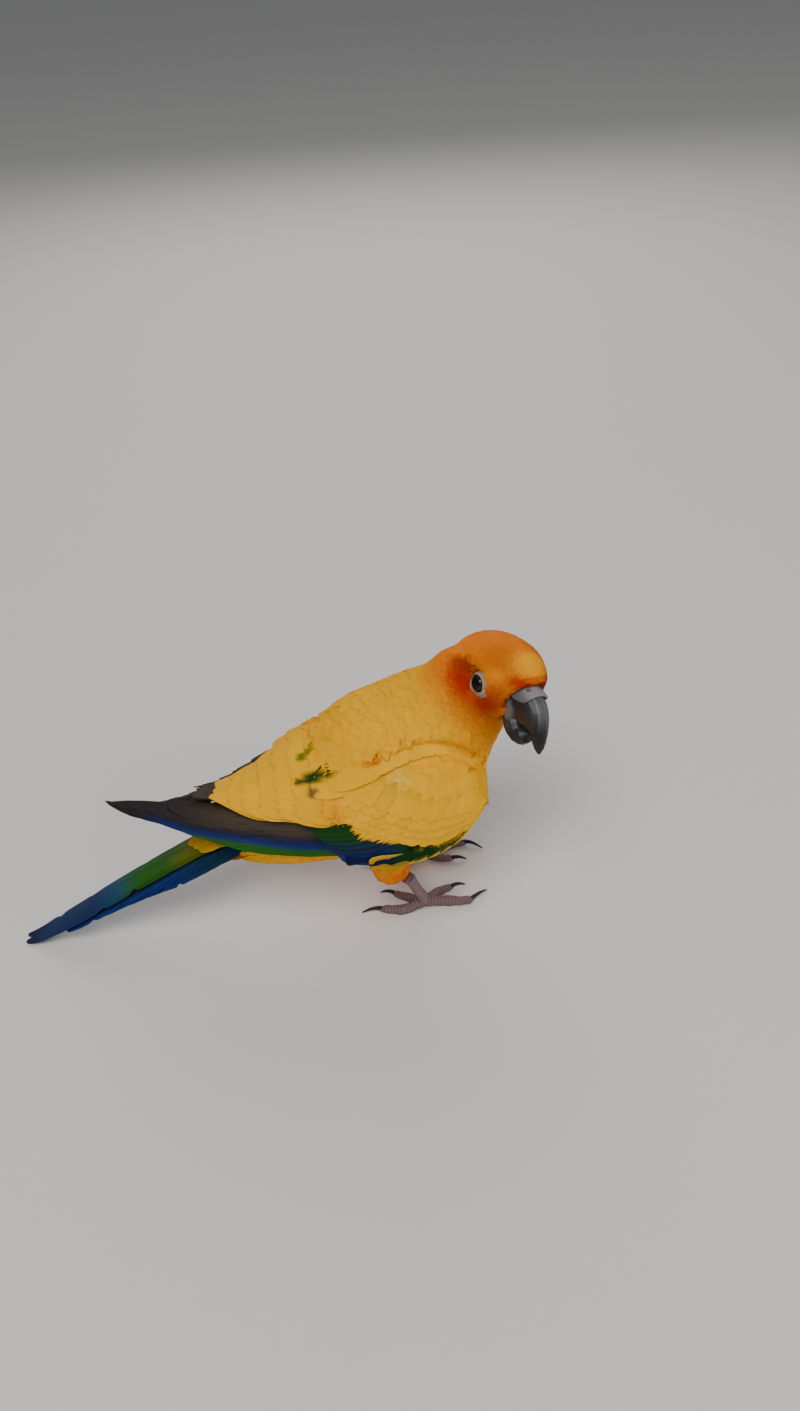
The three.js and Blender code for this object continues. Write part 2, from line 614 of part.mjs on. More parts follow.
function tarsus(leg, extra = 0) {
  const [ankle, foot] = [vec(...leg.ankle), vec(...leg.foot)];
  const line = new THREE.CatmullRomCurve3([
    ankle.clone().add(vec(-1.2, 0, 1)), ankle, ankle.clone().lerp(foot, 0.5), foot,
    foot.clone().add(vec(0.6, 0, -4.6)),
  ]);
  return limb(line, 9, 10, (u) => {
    const swell = 0.75 * Math.exp(-(((u - 0.02) / 0.16) ** 2)) + 1.1 * Math.exp(-(((u - 1) / 0.2) ** 2));
    const size = (2.25 + swell) * roundEnds(clamp(u, 0.2, 1), 0.2) + extra;
    return [size * 1.05, size];
  }, vec(1, 0, 0));
}

function toeLine(leg, toe, from, to) {
  const place = (offset, z) => vec(leg.foot[0] + offset[0], leg.foot[1] - leg.side * offset[1], z);
  const line = new THREE.CatmullRomCurve3([
    vec(leg.foot[0], leg.foot[1], 2.9), place(toe.bend, 1.9), place(toe.end, 1.6), place(toe.claw, 0.9),
  ]);
  return sub(line, from, to);
}

const CLAW_START = 0.7;

function toe(leg, row, extra = 0) {
  return limb(toeLine(leg, row, 0, CLAW_START + 0.04), 8, 8, (u) => {
    const pads = 1 + 0.1 * Math.cos(u * 4 * Math.PI) * (u > 0.15 ? 1 : 0);
    const size = row.radius * mix(1.08, 0.82, u) * pads * roundEnds(clamp(u, 0.3, 1), 0.12) + extra;
    return [size, size];
  });
}

function claw(leg, row) {
  const count = 8;
  const arch = (n) => 1.3 * Math.sin((Math.PI * n) / count) - 0.3 * (n / count);
  const points = toeLine(leg, row, CLAW_START - 0.06, 1).getPoints(count);
  points.forEach((point, n) => point.setZ(point.z + arch(n)));
  return limb(new THREE.CatmullRomCurve3(points), 6, 6, (u) => {
    const size = mix(1.25, 0.28, u ** 1.3);
    return [size * 0.85, size];
  });
}

function buildLeg(leg, trunkGrown, room) {
  const floor = (shape) => shape.trimByPlane([0, 0, 1], 0);
  const shank = floor(solid(tarsus(leg)));
  const shankGrown = solid(tarsus(leg, GAP));
  const parts = { tarsus: shank };
  parts.thigh = largest(solid(thigh(leg)).subtract(trunkGrown).subtract(room).subtract(shankGrown));
  let taken = shankGrown;
  for (const [name, row] of Object.entries(TOES)) {
    const body = solid(toe(leg, row));
    parts[`toe_${name}`] = largest(floor(body.subtract(taken)));
    parts[`claw_${name}`] = largest(floor(solid(claw(leg, row)).subtract(solid(toe(leg, row, GAP)))));
    taken = taken.add(solid(toe(leg, row, GAP)));
  }
  return parts;
}

// Materials
const paint = (color, roughness) => new THREE.MeshStandardMaterial({ color, roughness, metalness: 0 });
const gold = paint(0xf2b30c, 0.85);
const orange = paint(0xd9640f, 0.85);
const green = paint(0x4d6b1c, 0.8);
const flightBrown = paint(0x2a2a33, 0.7);
const skinGrey = paint(0x8d7b80, 0.6);
const billBlack = paint(0x2b2829, 0.35);
const clawDark = paint(0x3a3233, 0.4);
const cereGrey = paint(0x6f6870, 0.6);
const eyeDark = paint(0x14100e, 0.1);

const bird = new THREE.Group();

function addNode(name, shape, material) {
  const mesh = new THREE.Mesh(geometryOf(shape), material);
  mesh.name = name;
  bird.add(mesh);
}

function halfSpace(shape, cut, sign) {
  const n = vec(...cut.toward).normalize().multiplyScalar(sign);
  return shape.trimByPlane(n.toArray(), n.dot(vec(...cut.at)) + GAP / 2);
}

const headParts = buildHead();
const right = buildWing(-1);
const left = buildWing(1);
const room = wingRoom(right.face, GAP).add(wingRoom(left.face, GAP));
const flesh = solid(trunk()).subtract(room).subtract(headParts.taken);
const torsoShape = largest(halfSpace(halfSpace(flesh, NECK_CUT, -1), RUMP_CUT, -1));
const rear = largest(halfSpace(flesh, RUMP_CUT, 1));
const front = halfSpace(flesh, NECK_CUT, 1);
const neckShape = largest(halfSpace(front, HEAD_CUT, -1).subtract(halfSpace(headParts.head, HEAD_CUT, 1)));
const headShape = largest(halfSpace(headParts.head.add(front), HEAD_CUT, 1));

addNode('head', headShape, orange);
addNode('neck', neckShape, gold);
addNode('torso', torsoShape, gold);
addNode('rump', buildRump(rear), gold);
addNode('cere', headParts.cere, cereGrey);
addNode('upper_bill', headParts.upper, billBlack);
addNode('lower_bill', headParts.jaw, billBlack);
addNode('eye_right', headParts.eyes.right, eyeDark);
addNode('eye_left', headParts.eyes.left, eyeDark);
for (const [name, wing] of [['right', right], ['left', left]]) {
  addNode(`wing_${name}_coverts`, wing.coverts, green);
  addNode(`wing_${name}_primaries`, wing.primaries, flightBrown);
  addNode(`wing_${name}_secondaries`, wing.secondaries, flightBrown);
}
addNode('tail', buildTail(), green);
const trunkGrown = solid(trunk(GAP));
for (const [name, leg] of Object.entries(LEGS)) {
  for (const [part, shape] of Object.entries(buildLeg(leg, trunkGrown, room))) {
    const material = part === 'thigh' ? orange : part.startsWith('claw') ? clawDark : skinGrey;
    addNode(`${name}_${part}`, shape, material);
  }
}

// Origin at the middle of the bird's outline on the floor
const outline = new THREE.Box3().setFromObject(bird);
bird.position.set(-(outline.min.x + outline.max.x) / 2, -(outline.min.y + outline.max.y) / 2, -outline.min.z);

export default bird;
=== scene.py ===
import math

import bpy
import numpy as np
from mathutils import Matrix, Vector, kdtree
from mathutils.bvhtree import BVHTree


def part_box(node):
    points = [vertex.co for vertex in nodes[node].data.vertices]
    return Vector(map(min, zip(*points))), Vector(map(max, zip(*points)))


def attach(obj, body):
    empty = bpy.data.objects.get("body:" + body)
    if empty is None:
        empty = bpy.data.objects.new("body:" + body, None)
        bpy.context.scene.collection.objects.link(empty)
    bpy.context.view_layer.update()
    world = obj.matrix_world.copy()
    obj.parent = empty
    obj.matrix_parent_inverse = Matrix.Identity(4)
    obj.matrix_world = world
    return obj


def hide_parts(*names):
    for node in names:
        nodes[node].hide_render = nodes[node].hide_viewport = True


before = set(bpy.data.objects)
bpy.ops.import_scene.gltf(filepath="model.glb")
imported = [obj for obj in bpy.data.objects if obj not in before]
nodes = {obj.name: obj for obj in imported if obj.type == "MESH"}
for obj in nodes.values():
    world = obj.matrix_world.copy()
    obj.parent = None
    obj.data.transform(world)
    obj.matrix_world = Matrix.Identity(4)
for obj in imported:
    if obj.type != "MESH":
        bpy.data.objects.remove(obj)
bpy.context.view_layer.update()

# A sun conure whose plumage is modelled feather by feather over one skin.
# Places are in millimetres in the frame of the feet: x forwards, y to the bird's left, z up.
mm = 0.001
draw = np.random.default_rng(7)
sides = ((-1, "right"), (1, "left"))


# Numbers

def smooth(value):
    value = np.clip(value, 0, 1)
    return value * value * (3 - 2 * value)


def ramp(value, start, end):  # 0 at the start, 1 at the end and level beyond both
    return smooth((np.asarray(value, float) - start) / (end - start))


def mix(a, b, share):
    return a + (b - a) * share


def bell(value, middle, width):
    return np.exp(-(((value - middle) / width) ** 2))


def unit(vectors):
    return vectors / np.maximum(np.linalg.norm(vectors, axis=-1, keepdims=True), 1e-9)


def flatten(ways, normals):  # the ways laid along a surface with these normals
    return unit(ways - normals * np.sum(ways * normals, axis=-1, keepdims=True))


def mirrored(points):  # both sides as the left one
    return np.stack([points[:, 0], np.abs(points[:, 1]), points[:, 2]], 1)


def table(keys, *rows):
    return [dict(zip(keys.split(), row)) for row in rows]


def tableValue(rows, key, x):  # smooth value of one key at x, in rows whose x rises
    steps = np.array([row["x"] for row in rows], float)
    values = np.array([row[key] for row in rows], float)
    last = len(rows) - 1
    before = np.maximum(np.arange(last + 1) - 1, 0)
    after = np.minimum(np.arange(last + 1) + 1, last)
    slope = (values[after] - values[before]) / (steps[after] - steps[before])
    x = np.asarray(x, float)
    i = np.clip(np.searchsorted(steps, x, side="left") - 1, 0, last - 1)
    span = steps[i + 1] - steps[i]
    u = np.clip((x - steps[i]) / span, 0, 1)
    return (
        values[i] * (2 * u**3 - 3 * u**2 + 1)
        + slope[i] * span * (u**3 - 2 * u**2 + u)
        + values[i + 1] * (3 * u**2 - 2 * u**3)
        + slope[i + 1] * span * (u**3 - u**2)
    )


# Frames: the head's own, the feet's and the part's

headPose = dict(x=40.4, y=-11.3, z=115.9, yaw=-65, pitch=-10, roll=-17, scale=1.14)
eyeSpot = dict(x=-0.4, side=9.9, z=0.4, radius=3.75)  # in the head's frame

headMatrix = np.array(
    Matrix.Translation((headPose["x"], headPose["y"], headPose["z"]))
    @ Matrix.Rotation(math.radians(headPose["yaw"]), 4, "Z")
    @ Matrix.Rotation(math.radians(headPose["pitch"]), 4, "Y")
    @ Matrix.Rotation(math.radians(headPose["roll"]), 4, "X")
    @ Matrix.Scale(headPose["scale"], 4)
)
headInverse = np.linalg.inv(headMatrix)


def fromHead(points):
    return np.asarray(points, float) @ headMatrix[:3, :3].T + headMatrix[:3, 3]


def toHead(points):
    return np.asarray(points, float) @ headInverse[:3, :3].T + headInverse[:3, 3]


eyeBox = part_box("eye_right")
feetShift = (np.array(eyeBox[0]) + np.array(eyeBox[1])) / 2 / mm
feetShift = feetShift - fromHead([eyeSpot["x"], -eyeSpot["side"], eyeSpot["z"]])
feetShift[2] = 0


def toPart(points):  # feet millimetres to the part's metres
    return (np.asarray(points, float) + feetShift) * mm


def toFeet(points):
    return np.asarray(points, float) / mm - feetShift


# Working with objects

def deselect():
    bpy.ops.object.select_all(action="DESELECT")


def activate(piece):
    deselect()
    piece.select_set(True)
    bpy.context.view_layer.objects.active = piece


def applied(piece, kind, **settings):  # adds one modifier and applies it
    activate(piece)
    modifier = piece.modifiers.new(kind.title(), kind)
    for key, value in settings.items():
        setattr(modifier, key, value)
    bpy.ops.object.modifier_apply(modifier=modifier.name)


def editAll(piece, job, **settings):
    activate(piece)
    bpy.ops.object.mode_set(mode="EDIT")
    bpy.ops.mesh.select_all(action="SELECT")
    job(**settings)
    bpy.ops.object.mode_set(mode="OBJECT")


def facedOut(piece):
    editAll(piece, bpy.ops.mesh.normals_make_consistent, inside=False)


def objectOf(name, mesh):
    piece = bpy.data.objects.new(name, mesh)
    bpy.context.scene.collection.objects.link(piece)
    return piece


def joined(parts, name):
    activate(parts[0])
    for part in parts:
        part.select_set(True)
    if len(parts) > 1:
        bpy.ops.object.join()
    piece = parts[0]
    piece.name = name
    piece.data.name = name
    editAll(piece, bpy.ops.mesh.remove_doubles, threshold=1e-6)
    return piece


def copyOf(names, name):  # one merged mesh of copies of CAD nodes
    return joined([objectOf(name, nodes[node].data.copy()) for node in names], name)


def readAll(items, key, width, kind=float):
    flat = np.empty(len(items) * width, kind)
    items.foreach_get(key, flat)
    return flat.reshape(-1, width)


def places(piece):
    return readAll(piece.data.vertices, "co", 3)


def pointNormals(piece):
    return readAll(piece.data.vertices, "normal", 3)


def setPlaces(piece, points):
    piece.data.vertices.foreach_set("co", np.asarray(points, float).ravel())
    piece.data.update()


def headPlaces(piece):
    return toHead(toFeet(places(piece)))


def setHeadPlaces(piece, points):
    setPlaces(piece, toPart(fromHead(points)))


def remeshed(piece, voxel, grow, rounds):  # even fine mesh over closed shells that may touch
    if grow:
        applied(piece, "DISPLACE", strength=grow * mm, mid_level=0)
    applied(piece, "REMESH", mode="VOXEL", voxel_size=voxel * mm)
    applied(piece, "SMOOTH", factor=0.5, iterations=rounds)
    return piece


def meshOf(name, points, corners, starts):  # object from arrays, points in feet millimetres
    mesh = bpy.data.meshes.new(name)
    mesh.vertices.add(len(points))
    mesh.vertices.foreach_set("co", toPart(points).ravel())
    mesh.loops.add(len(corners))
    mesh.loops.foreach_set("vertex_index", corners.astype(np.int32))
    mesh.polygons.add(len(starts))
    mesh.polygons.foreach_set("loop_start", starts.astype(np.int32))
    mesh.update(calc_edges=True)
    mesh.validate()
    mesh.shade_smooth()
    return objectOf(name, mesh)


def paintPoints(piece, colours):
    layer = piece.data.color_attributes.new("tint", "FLOAT_COLOR", "POINT")
    rgba = np.ones((len(colours), 4))
    rgba[:, :3] = colours
    layer.data.foreach_set("color", rgba.ravel())


def mapPoints(piece, name, uv, corners):
    layer = piece.data.uv_layers.new(name=name)
    layer.data.foreach_set("uv", uv[corners].ravel())


def dress(piece, material, slot, *replaced):
    piece.data.materials.clear()
    piece.data.materials.append(material)
    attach(piece, "root")
    if replaced:
        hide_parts(*replaced)


def finished(piece, colours, material, slot, *replaced):
    paintPoints(piece, colours)
    piece.data.shade_smooth()
    dress(piece, material, slot, *replaced)


# Colours, as they look in even light

def linear(shade):
    share = np.array(shade) / 255
    return np.where(share <= 0.04045, share / 12.92, ((share + 0.055) / 1.055) ** 2.4)


tints = dict(
    gold=(253, 184, 0), lemon=(248, 204, 8), amber=(248, 154, 0), tangerine=(243, 132, 0),
    orange=(236, 104, 0), rust=(176, 74, 4), ember=(186, 40, 6), blood=(128, 14, 6), ochre=(196, 98, 0),
    leaf=(36, 98, 20), pine=(12, 62, 16), olive=(132, 120, 16), navy=(18, 26, 74), cobalt=(26, 62, 146),
    soot=(34, 28, 30), umber=(80, 68, 56), bark=(112, 84, 50), pale=(226, 222, 130), iris=(50, 31, 22),
    lid=(58, 48, 46), ring=(180, 164, 142), ringFold=(140, 124, 106), cere=(148, 148, 150),
    horn=(30, 25, 26), hornLight=(130, 134, 138), footSkin=(132, 104, 108), footTop=(150, 120, 124),
    footFold=(84, 64, 66),
)
tints = {name: linear(shade) for name, shade in tints.items()}


# Trunk, and the way the plumage lies

trunkRows = table(
    "x y z up down side",
    (-85, 0, 43, 3, 4, 5),
    (-76, 0, 44, 9, 10, 11),
    (-62, 0, 47.5, 18, 18, 17),
    (-42, 0, 55, 28, 25, 23.5),
    (-20, 0, 63.5, 37, 30, 27.5),
    (0, 0, 74, 39, 34, 29),
    (15, -1, 88, 32, 25, 26.5),
    (25, -3, 100, 25.5, 18.5, 20.5),
    (33, -3.8, 109, 23, 14, 13.6),
    (38, -6, 113, 15, 6, 6),
)
headCut = dict(at=np.array([30.5, -5.5, 102.5]), toward=unit(np.array([0.55, -0.3, 0.78])))
billRoot = np.array([15.0, 0, -5.0])  # the head's feathers lie away from here, in the head's frame
legLines = dict(
    right=np.array([[-11, -16, 44], [-4.5, -17.5, 21]], float),
    left=np.array([[-8, 15, 44], [-1, 16, 21]], float),
)
legLie = np.array([-0.25, 0, -1.0])

axisX = np.linspace(-85, 38, 60)
axisPoints = np.stack([axisX, tableValue(trunkRows, "y", axisX), tableValue(trunkRows, "z", axisX)], 1)
axisRun = unit(np.gradient(axisPoints, axis=0))


def pastNeck(points):  # how far towards the head from the neck's cut
    return (points - headCut["at"]) @ headCut["toward"]


def headShare(points):  # 0 on the trunk, 1 on the head
    return ramp(pastNeck(points), -8, 5)


def legShare(points):  # 1 on the thighs below the belly
    share = np.zeros(len(points))
    for line in legLines.values():
        run = line[1] - line[0]
        along = np.clip((points - line[0]) @ run / (run @ run), 0, 1.1)
        off = np.linalg.norm(points - line[0] - along[:, None] * run, axis=1)
        share = np.maximum(share, ramp(off, 13, 9) * ramp(points[:, 2], 38, 30))
    return share


def lieOf(points):  # the way that feathers point
    gap = np.linalg.norm(points[:, None, :] - axisPoints[None], axis=2)
    lie = -axisRun[np.argmin(gap, axis=1)]
    away = unit(toHead(points) - billRoot) @ headMatrix[:3, :3].T
    lie = mix(lie, unit(away), headShare(points)[:, None])
    return unit(mix(lie, legLie, legShare(points)[:, None]))


# Folded wings: rows of the outer face, from its lower to its upper edge

wingRows = table(
    "x lowSide lowZ highSide highZ bulge",
    (-126, 5, 77, 4.5, 80, 0.4),
    (-105, 13, 69.5, 6, 79.5, 1.2),
    (-89, 20, 63.5, 8.5, 78, 2),
    (-69, 26, 59.5, 14, 77.5, 3),
    (-53, 29.5, 55.5, 19, 79, 4),
    (-38, 30.5, 50.5, 22, 82, 5),
    (-22, 31.5, 45.5, 22, 88.5, 6.5),
    (-7, 32, 44.5, 21, 94.5, 7.5),
    (8, 32.5, 48.5, 20, 97, 7.5),
    (20, 31, 56, 21, 92, 6),
    (30, 27, 66, 23.5, 82, 3),
)
wingReach = (-126, 40)
leftWing = dict(drop=9, tuck=9)  # the left wing's tip lies lower and further forward
coverEdge = table(  # where the yellow coverts end, as a share of the wing's height
    "x share", (-44, 0.86), (-38, 0.76), (-30, 0.62), (-20, 0.46), (-10, 0.3), (0, 0.18), (10, 0.14),
    (20, 0.1), (30, 0.06),
)


def tuckAt(x):
    return leftWing["tuck"] * ramp(-x, 50, 126)


def wingHeight(x):
    side = tableValue(wingRows, "highSide", x) - tableValue(wingRows, "lowSide", x)
    return np.hypot(side, tableValue(wingRows, "highZ", x) - tableValue(wingRows, "lowZ", x))


def wingPoint(side, x, share, depth):  # on the folded wing's outer face, or so deep above it
    x = np.clip(x, *wingReach)
    lowSide, lowZ, highSide, highZ, bulge = (
        tableValue(wingRows, key, x) for key in ("lowSide", "lowZ", "highSide", "highZ", "bulge"))
    height = np.hypot(highSide - lowSide, highZ - lowZ)
    runSide = (highSide - lowSide) / height
    runZ = (highZ - lowZ) / height
    out = bulge * 4 * share * (1 - share)
    turn = np.arctan(bulge * 4 * (1 - 2 * share) / height)
    leanSide = runZ * np.cos(turn) - runSide * np.sin(turn)
    leanZ = -runSide * np.cos(turn) - runZ * np.sin(turn)
    drop = leftWing["drop"] * ramp(-x, 30, 88) * (side > 0)
    y = mix(lowSide, highSide, share) + runZ * out + leanSide * depth
    z = mix(lowZ, highZ, share) - runSide * out + leanZ * depth - drop
    return np.stack([x + tuckAt(x) * (side > 0), side * y, z], -1)


class WingMap:  # the nearest place on either wing's face, as an x, a share and a distance
    def __init__(self):
        x, share = np.meshgrid(np.arange(-124, 33, 2.0), np.linspace(-0.1, 1, 23), indexing="ij")
        self.x = np.tile(x.ravel(), 2)
        self.share = np.tile(share.ravel(), 2)
        spots = [wingPoint(side, x.ravel(), share.ravel(), 0) for side, _ in sides]
        self.tree = kdtree.KDTree(len(self.x))
        for n, spot in enumerate(np.concatenate(spots).tolist()):
            self.tree.insert(spot, n)
        self.tree.balance()

    def at(self, points):
        found = [self.tree.find(point) for point in points.tolist()]
        index = np.array([hit[1] for hit in found])
        return self.x[index], self.share[index], np.array([hit[2] for hit in found])


wingMap = WingMap()


# Markings: spots of colour, alike on both sides, and streaks on the right shoulder and back. A few of the
# spots are painted highlight and painted shade

headSpots = table(
    "at reach tint strength",
    ((-6, 0, 15), (14, 12, 9), "orange", 0.3),
    ((-19, 0, 2), (8, 14, 9), "amber", 0.9),
    ((1, 12, -10), (9, 9, 7), "ochre", 0.95),
    ((-8, 13, -6), (7, 6, 8), "ochre", 0.8),
    ((6, 0, -15), (8, 8, 6), "amber", 0.8),
    ((-13, 12, -12), (10, 9, 9), "ochre", 0.55),
    # painted shade under the cheek, towards the throat
    ((3, 10, -17), (11, 10, 8), "rust", 0.85),
    # painted shade before and above the eye
    ((5, 7, 9), (8, 7, 6.5), "ochre", 0.75),
    # painted highlight on the crown's front, where light falls from above
    ((13, 0, 10), (5, 8, 4.4), "gold", 0.85),
    ((-8, 13, -2), (9, 6, 7.5), "ember", 1),
    ((9, 11, -1.5), (5, 6, 4), "rust", 0.7),
    ((7, 12, -6), (8, 5, 5), "ember", 1),
    ((9, 11, -6.5), (5, 4.5, 3.2), "blood", 0.9),
    ((-6.5, 12.5, 4.5), (6, 5, 2.6), "blood", 0.75),
    ((14, 4, 3.8), (5, 9, 2.0), "ember", 0.95),
    ((6, 10, 4.5), (4, 4, 2.2), "amber", 0.7),
)
bodySpots = table(
    "at reach tint strength",
    ((26, 0, 96), (14, 26, 16), "amber", 0.6),
    ((8, 0, 48), (26, 22, 20), "orange", 0.75),
    ((-35, 0, 32), (28, 22, 16), "orange", 0.85),
    ((-70, 0, 36), (16, 14, 10), "olive", 0.6),
    ((-6, 17, 26), (12, 10, 11), "orange", 1),
    ((-20, 26, 88), (10, 8, 8), "lemon", 0.5),
    # painted highlight on the shoulder
    ((-4, 28, 87), (5, 7, 3.5), "pale", 0.6),
    ((31, 19, 98), (9, 9, 8), "rust", 0.35),
)
backMarks = table(
    "start end half tint strength",
    ((-46, -16, 84), (-28, -20, 92.5), 2.3, "pine", 1),
    ((-45, -6.5, 87), (-38, -6, 94.8), 1.8, "leaf", 0.9),
    ((-42, -22.5, 80), (-39, -21.5, 83.5), 2.2, "bark", 0.95),
)


def layers(base, *coats):  # colours laid over one another, each with its tint and weight
    colours = np.tile(tints[base], (len(coats[0][1]), 1))
    for name, weight in coats:
        colours = mix(colours, tints[name], np.clip(weight, 0, 1)[:, None])
    return colours


def addSpots(colours, points, spots):
    for spot in spots:
        off = (points - np.array(spot["at"], float)) / np.array(spot["reach"], float)
        weight = spot["strength"] * np.exp(-np.sum(off**2, axis=1) ** 1.6)
        colours = mix(colours, tints[spot["tint"]], weight[:, None])
    return colours


def addMarks(colours, points):
    for mark in backMarks:
        start, end = np.array(mark["start"], float), np.array(mark["end"], float)
        along = (points - start) @ (end - start) / np.sum((end - start) ** 2)
        off = np.linalg.norm(points - start - np.clip(along, 0, 1)[:, None] * (end - start), axis=1)
        half = mark["half"] * (0.55 + 0.45 * np.sin(np.pi * np.clip(along, 0, 1)))
        weight = mark["strength"] * ramp(off / half, 1.5, 0.7)
        colours = mix(colours, tints[mark["tint"]], weight[:, None])
    return colours


def markingsAndPaintedLight(points):
    gold = np.tile(tints["gold"], (len(points), 1))
    body = addMarks(addSpots(gold, mirrored(points), bodySpots), points)
    x, height, off = wingMap.at(points)
    under = ramp(tableValue(coverEdge, "share", x) - height, -0.02, 0.06)  # below the yellow coverts
    under = under * ramp(off, 6, 4) * ramp(x, 26, 20)
    dark = layers("navy", ("pine", np.maximum(ramp(height, 0.34, 0.5), ramp(x, -16, -6))))
    body = mix(body, dark, under[:, None])
    tangerine = np.tile(tints["tangerine"], (len(points), 1))
    head = addSpots(tangerine, mirrored(toHead(points)), headSpots)
    return mix(body, head, ramp(pastNeck(points), -5, 9)[:, None])


# Shader maths: a wrapped socket whose operators add nodes

class Wire:
    def __init__(self, finish, socket):
        self.finish = finish
        self.socket = socket

    def join(self, operation, *others):
        return self.finish.node("ShaderNodeMath", dict(operation=operation), [self, *others])

    def __add__(self, other):
        return self.join("ADD", other)

    def __mul__(self, other):
        return self.join("MULTIPLY", other)

    def __sub__(self, other):
        return self.join("SUBTRACT", other)

    def __rsub__(self, other):
        return self.finish.node("ShaderNodeMath", dict(operation="SUBTRACT"), [other, self])

    __radd__ = __add__
    __rmul__ = __mul__

    def clipped(self):
        return self.join("MAXIMUM", 0).join("MINIMUM", 1)


class Finish:  # one node material
    def __init__(self, name, roughness, **constants):
        self.material = bpy.data.materials.new(name)
        self.material.use_nodes = True
        self.tree = self.material.node_tree
        self.shader = self.tree.nodes["Principled BSDF"]
        self.shader.inputs["Roughness"].default_value = roughness
        for key, value in constants.items():
            self.shader.inputs[key.replace("_", " ")].default_value = value

    def node(self, kind, settings=None, values=None, output=0):
        made = self.tree.nodes.new(kind)
        for key, value in (settings or {}).items():
            if key == "stops":
                self.setStops(made.color_ramp, value)
            else:
                setattr(made, key, value)
        pairs = values.items() if isinstance(values, dict) else enumerate(values or [])
        for key, value in pairs:
            self.put(made.inputs[key], value)
        return Wire(self, made.outputs[output])

    def setStops(self, slope, stops):
        while len(slope.elements) < len(stops):
            slope.elements.new(1)
        for element, (place, shade) in zip(slope.elements, stops):
            element.position = place
            element.color = (*shade, 1)

    def put(self, socket, value):
        if isinstance(value, Wire):
            self.tree.links.new(value.socket, socket)
        elif hasattr(value, "__len__"):
            socket.default_value = (*value, 1) if len(value) < len(socket.default_value) else tuple(value)
        else:
            socket.default_value = value

    def blend(self, factor, a, b, kind="MIX"):
        settings = dict(data_type="RGBA", blend_type=kind)
        return self.node("ShaderNodeMix", settings, {0: factor, 6: a, 7: b}, 2)

    def shaded(self, shade):  # the painted tint, darker or lighter by a value
        grey = self.node("ShaderNodeCombineColor", None, [shade, shade, shade])
        return self.blend(1.0, self.attribute("tint"), grey, "MULTIPLY")

    def attribute(self, name):
        return self.node("ShaderNodeAttribute", dict(attribute_name=name))

    def uv(self, name):
        spot = self.node("ShaderNodeUVMap", dict(uv_map=name))
        return [self.node("ShaderNodeSeparateXYZ", None, [spot], output) for output in (0, 1)]

    def place(self, scale=(1, 1, 1)):
        spot = self.node("ShaderNodeTexCoord", output=3)
        return self.node("ShaderNodeMapping", None, {"Vector": spot, "Scale": scale})

    def noise(self, size, detail, scale=(1, 1, 1)):
        values = {"Vector": self.place(scale), "Scale": size, "Detail": detail}
        return self.node("ShaderNodeTexNoise", None, values)

    def bump(self, height, strength, distance):
        values = {"Height": height, "Strength": strength, "Distance": distance}
        self.put(self.shader.inputs["Normal"], self.node("ShaderNodeBump", None, values))

    def paint(self, name, value):
        self.put(self.shader.inputs[name], value)


def plumage(name, barbs, shine, ridge):
    look = Finish(name, shine, Specular_IOR_Level=0.15)
    across, along = look.uv("vane")  # across runs from 0 to 1 with the shaft at one half
    off = (across - 0.5).join("ABSOLUTE")
    line = (along - off * 0.9) * (barbs * 2 * math.pi)
    fine = line.join("SINE") * 0.5 + 0.5
    broad = look.noise(900, 4)
    shaft = (1 - off * 22).clipped()
    # each feather darker towards its root: painted shade where the feathers in front overlap it; the barb
    # lines, shaft and noise are the vane's own
    shade = 0.9 + along * 0.1 + fine * 0.04 + (broad - 0.5) * 0.16 - shaft * 0.04
    look.paint("Base Color", look.shaded(shade))
    look.paint("Roughness", (shine - 0.06) + fine * 0.12)
    look.bump(fine * 0.6 + shaft * 0.8 + broad * 0.5, ridge, 0.0002)
    return look.material


def skinFinish():
    look = Finish("feathered_skin", 0.85, Specular_IOR_Level=0.15)
    grain = look.noise(700, 5)
    look.paint("Base Color", look.shaded(0.72 + grain * 0.3))
    look.bump(grain, 0.5, 0.0004)
    return look.material


def ringFinish():
    look = Finish("ring_skin", 0.6, Specular_IOR_Level=0.3)
    fine = look.noise(2400, 4)
    look.paint("Base Color", look.shaded(0.86 + fine * 0.28))
    look.bump(fine, 0.35, 0.0002)
    return look.material


def hornFinish(name, roughness, scale, grain):
    look = Finish(name, roughness, Specular_IOR_Level=0.4)
    lines = look.noise(260, 5, scale)
    fine = look.noise(1500, 4)
    look.paint("Base Color", look.shaded(0.72 + lines * 0.4 + fine * 0.16))
    look.paint("Roughness", (roughness - 0.08) + fine * 0.18)
    look.bump(lines * 0.7 + fine * 0.3, grain, 0.0003)
    return look.material


# Skin: one seamless surface inside the plumage, so deep under the solids' own

skinShape = dict(
    voxel=1.0, grow=0.5, rounds=12, wingCut=-33, rumpCut=-60, depth=1.7, headDepth=1.1, legDepth=0.9,
    shade=0.8,
)
ventShape = dict(start=-84, end=-46, rings=14, around=28, inside=0.7)


def cutBehind(piece, x):  # keeps what lies in front of x and closes the cut
    editAll(
        piece, bpy.ops.mesh.bisect, plane_co=tuple(toPart([x, 0, 0])), plane_no=(-1, 0, 0),
        use_fill=True, clear_outer=True,
    )


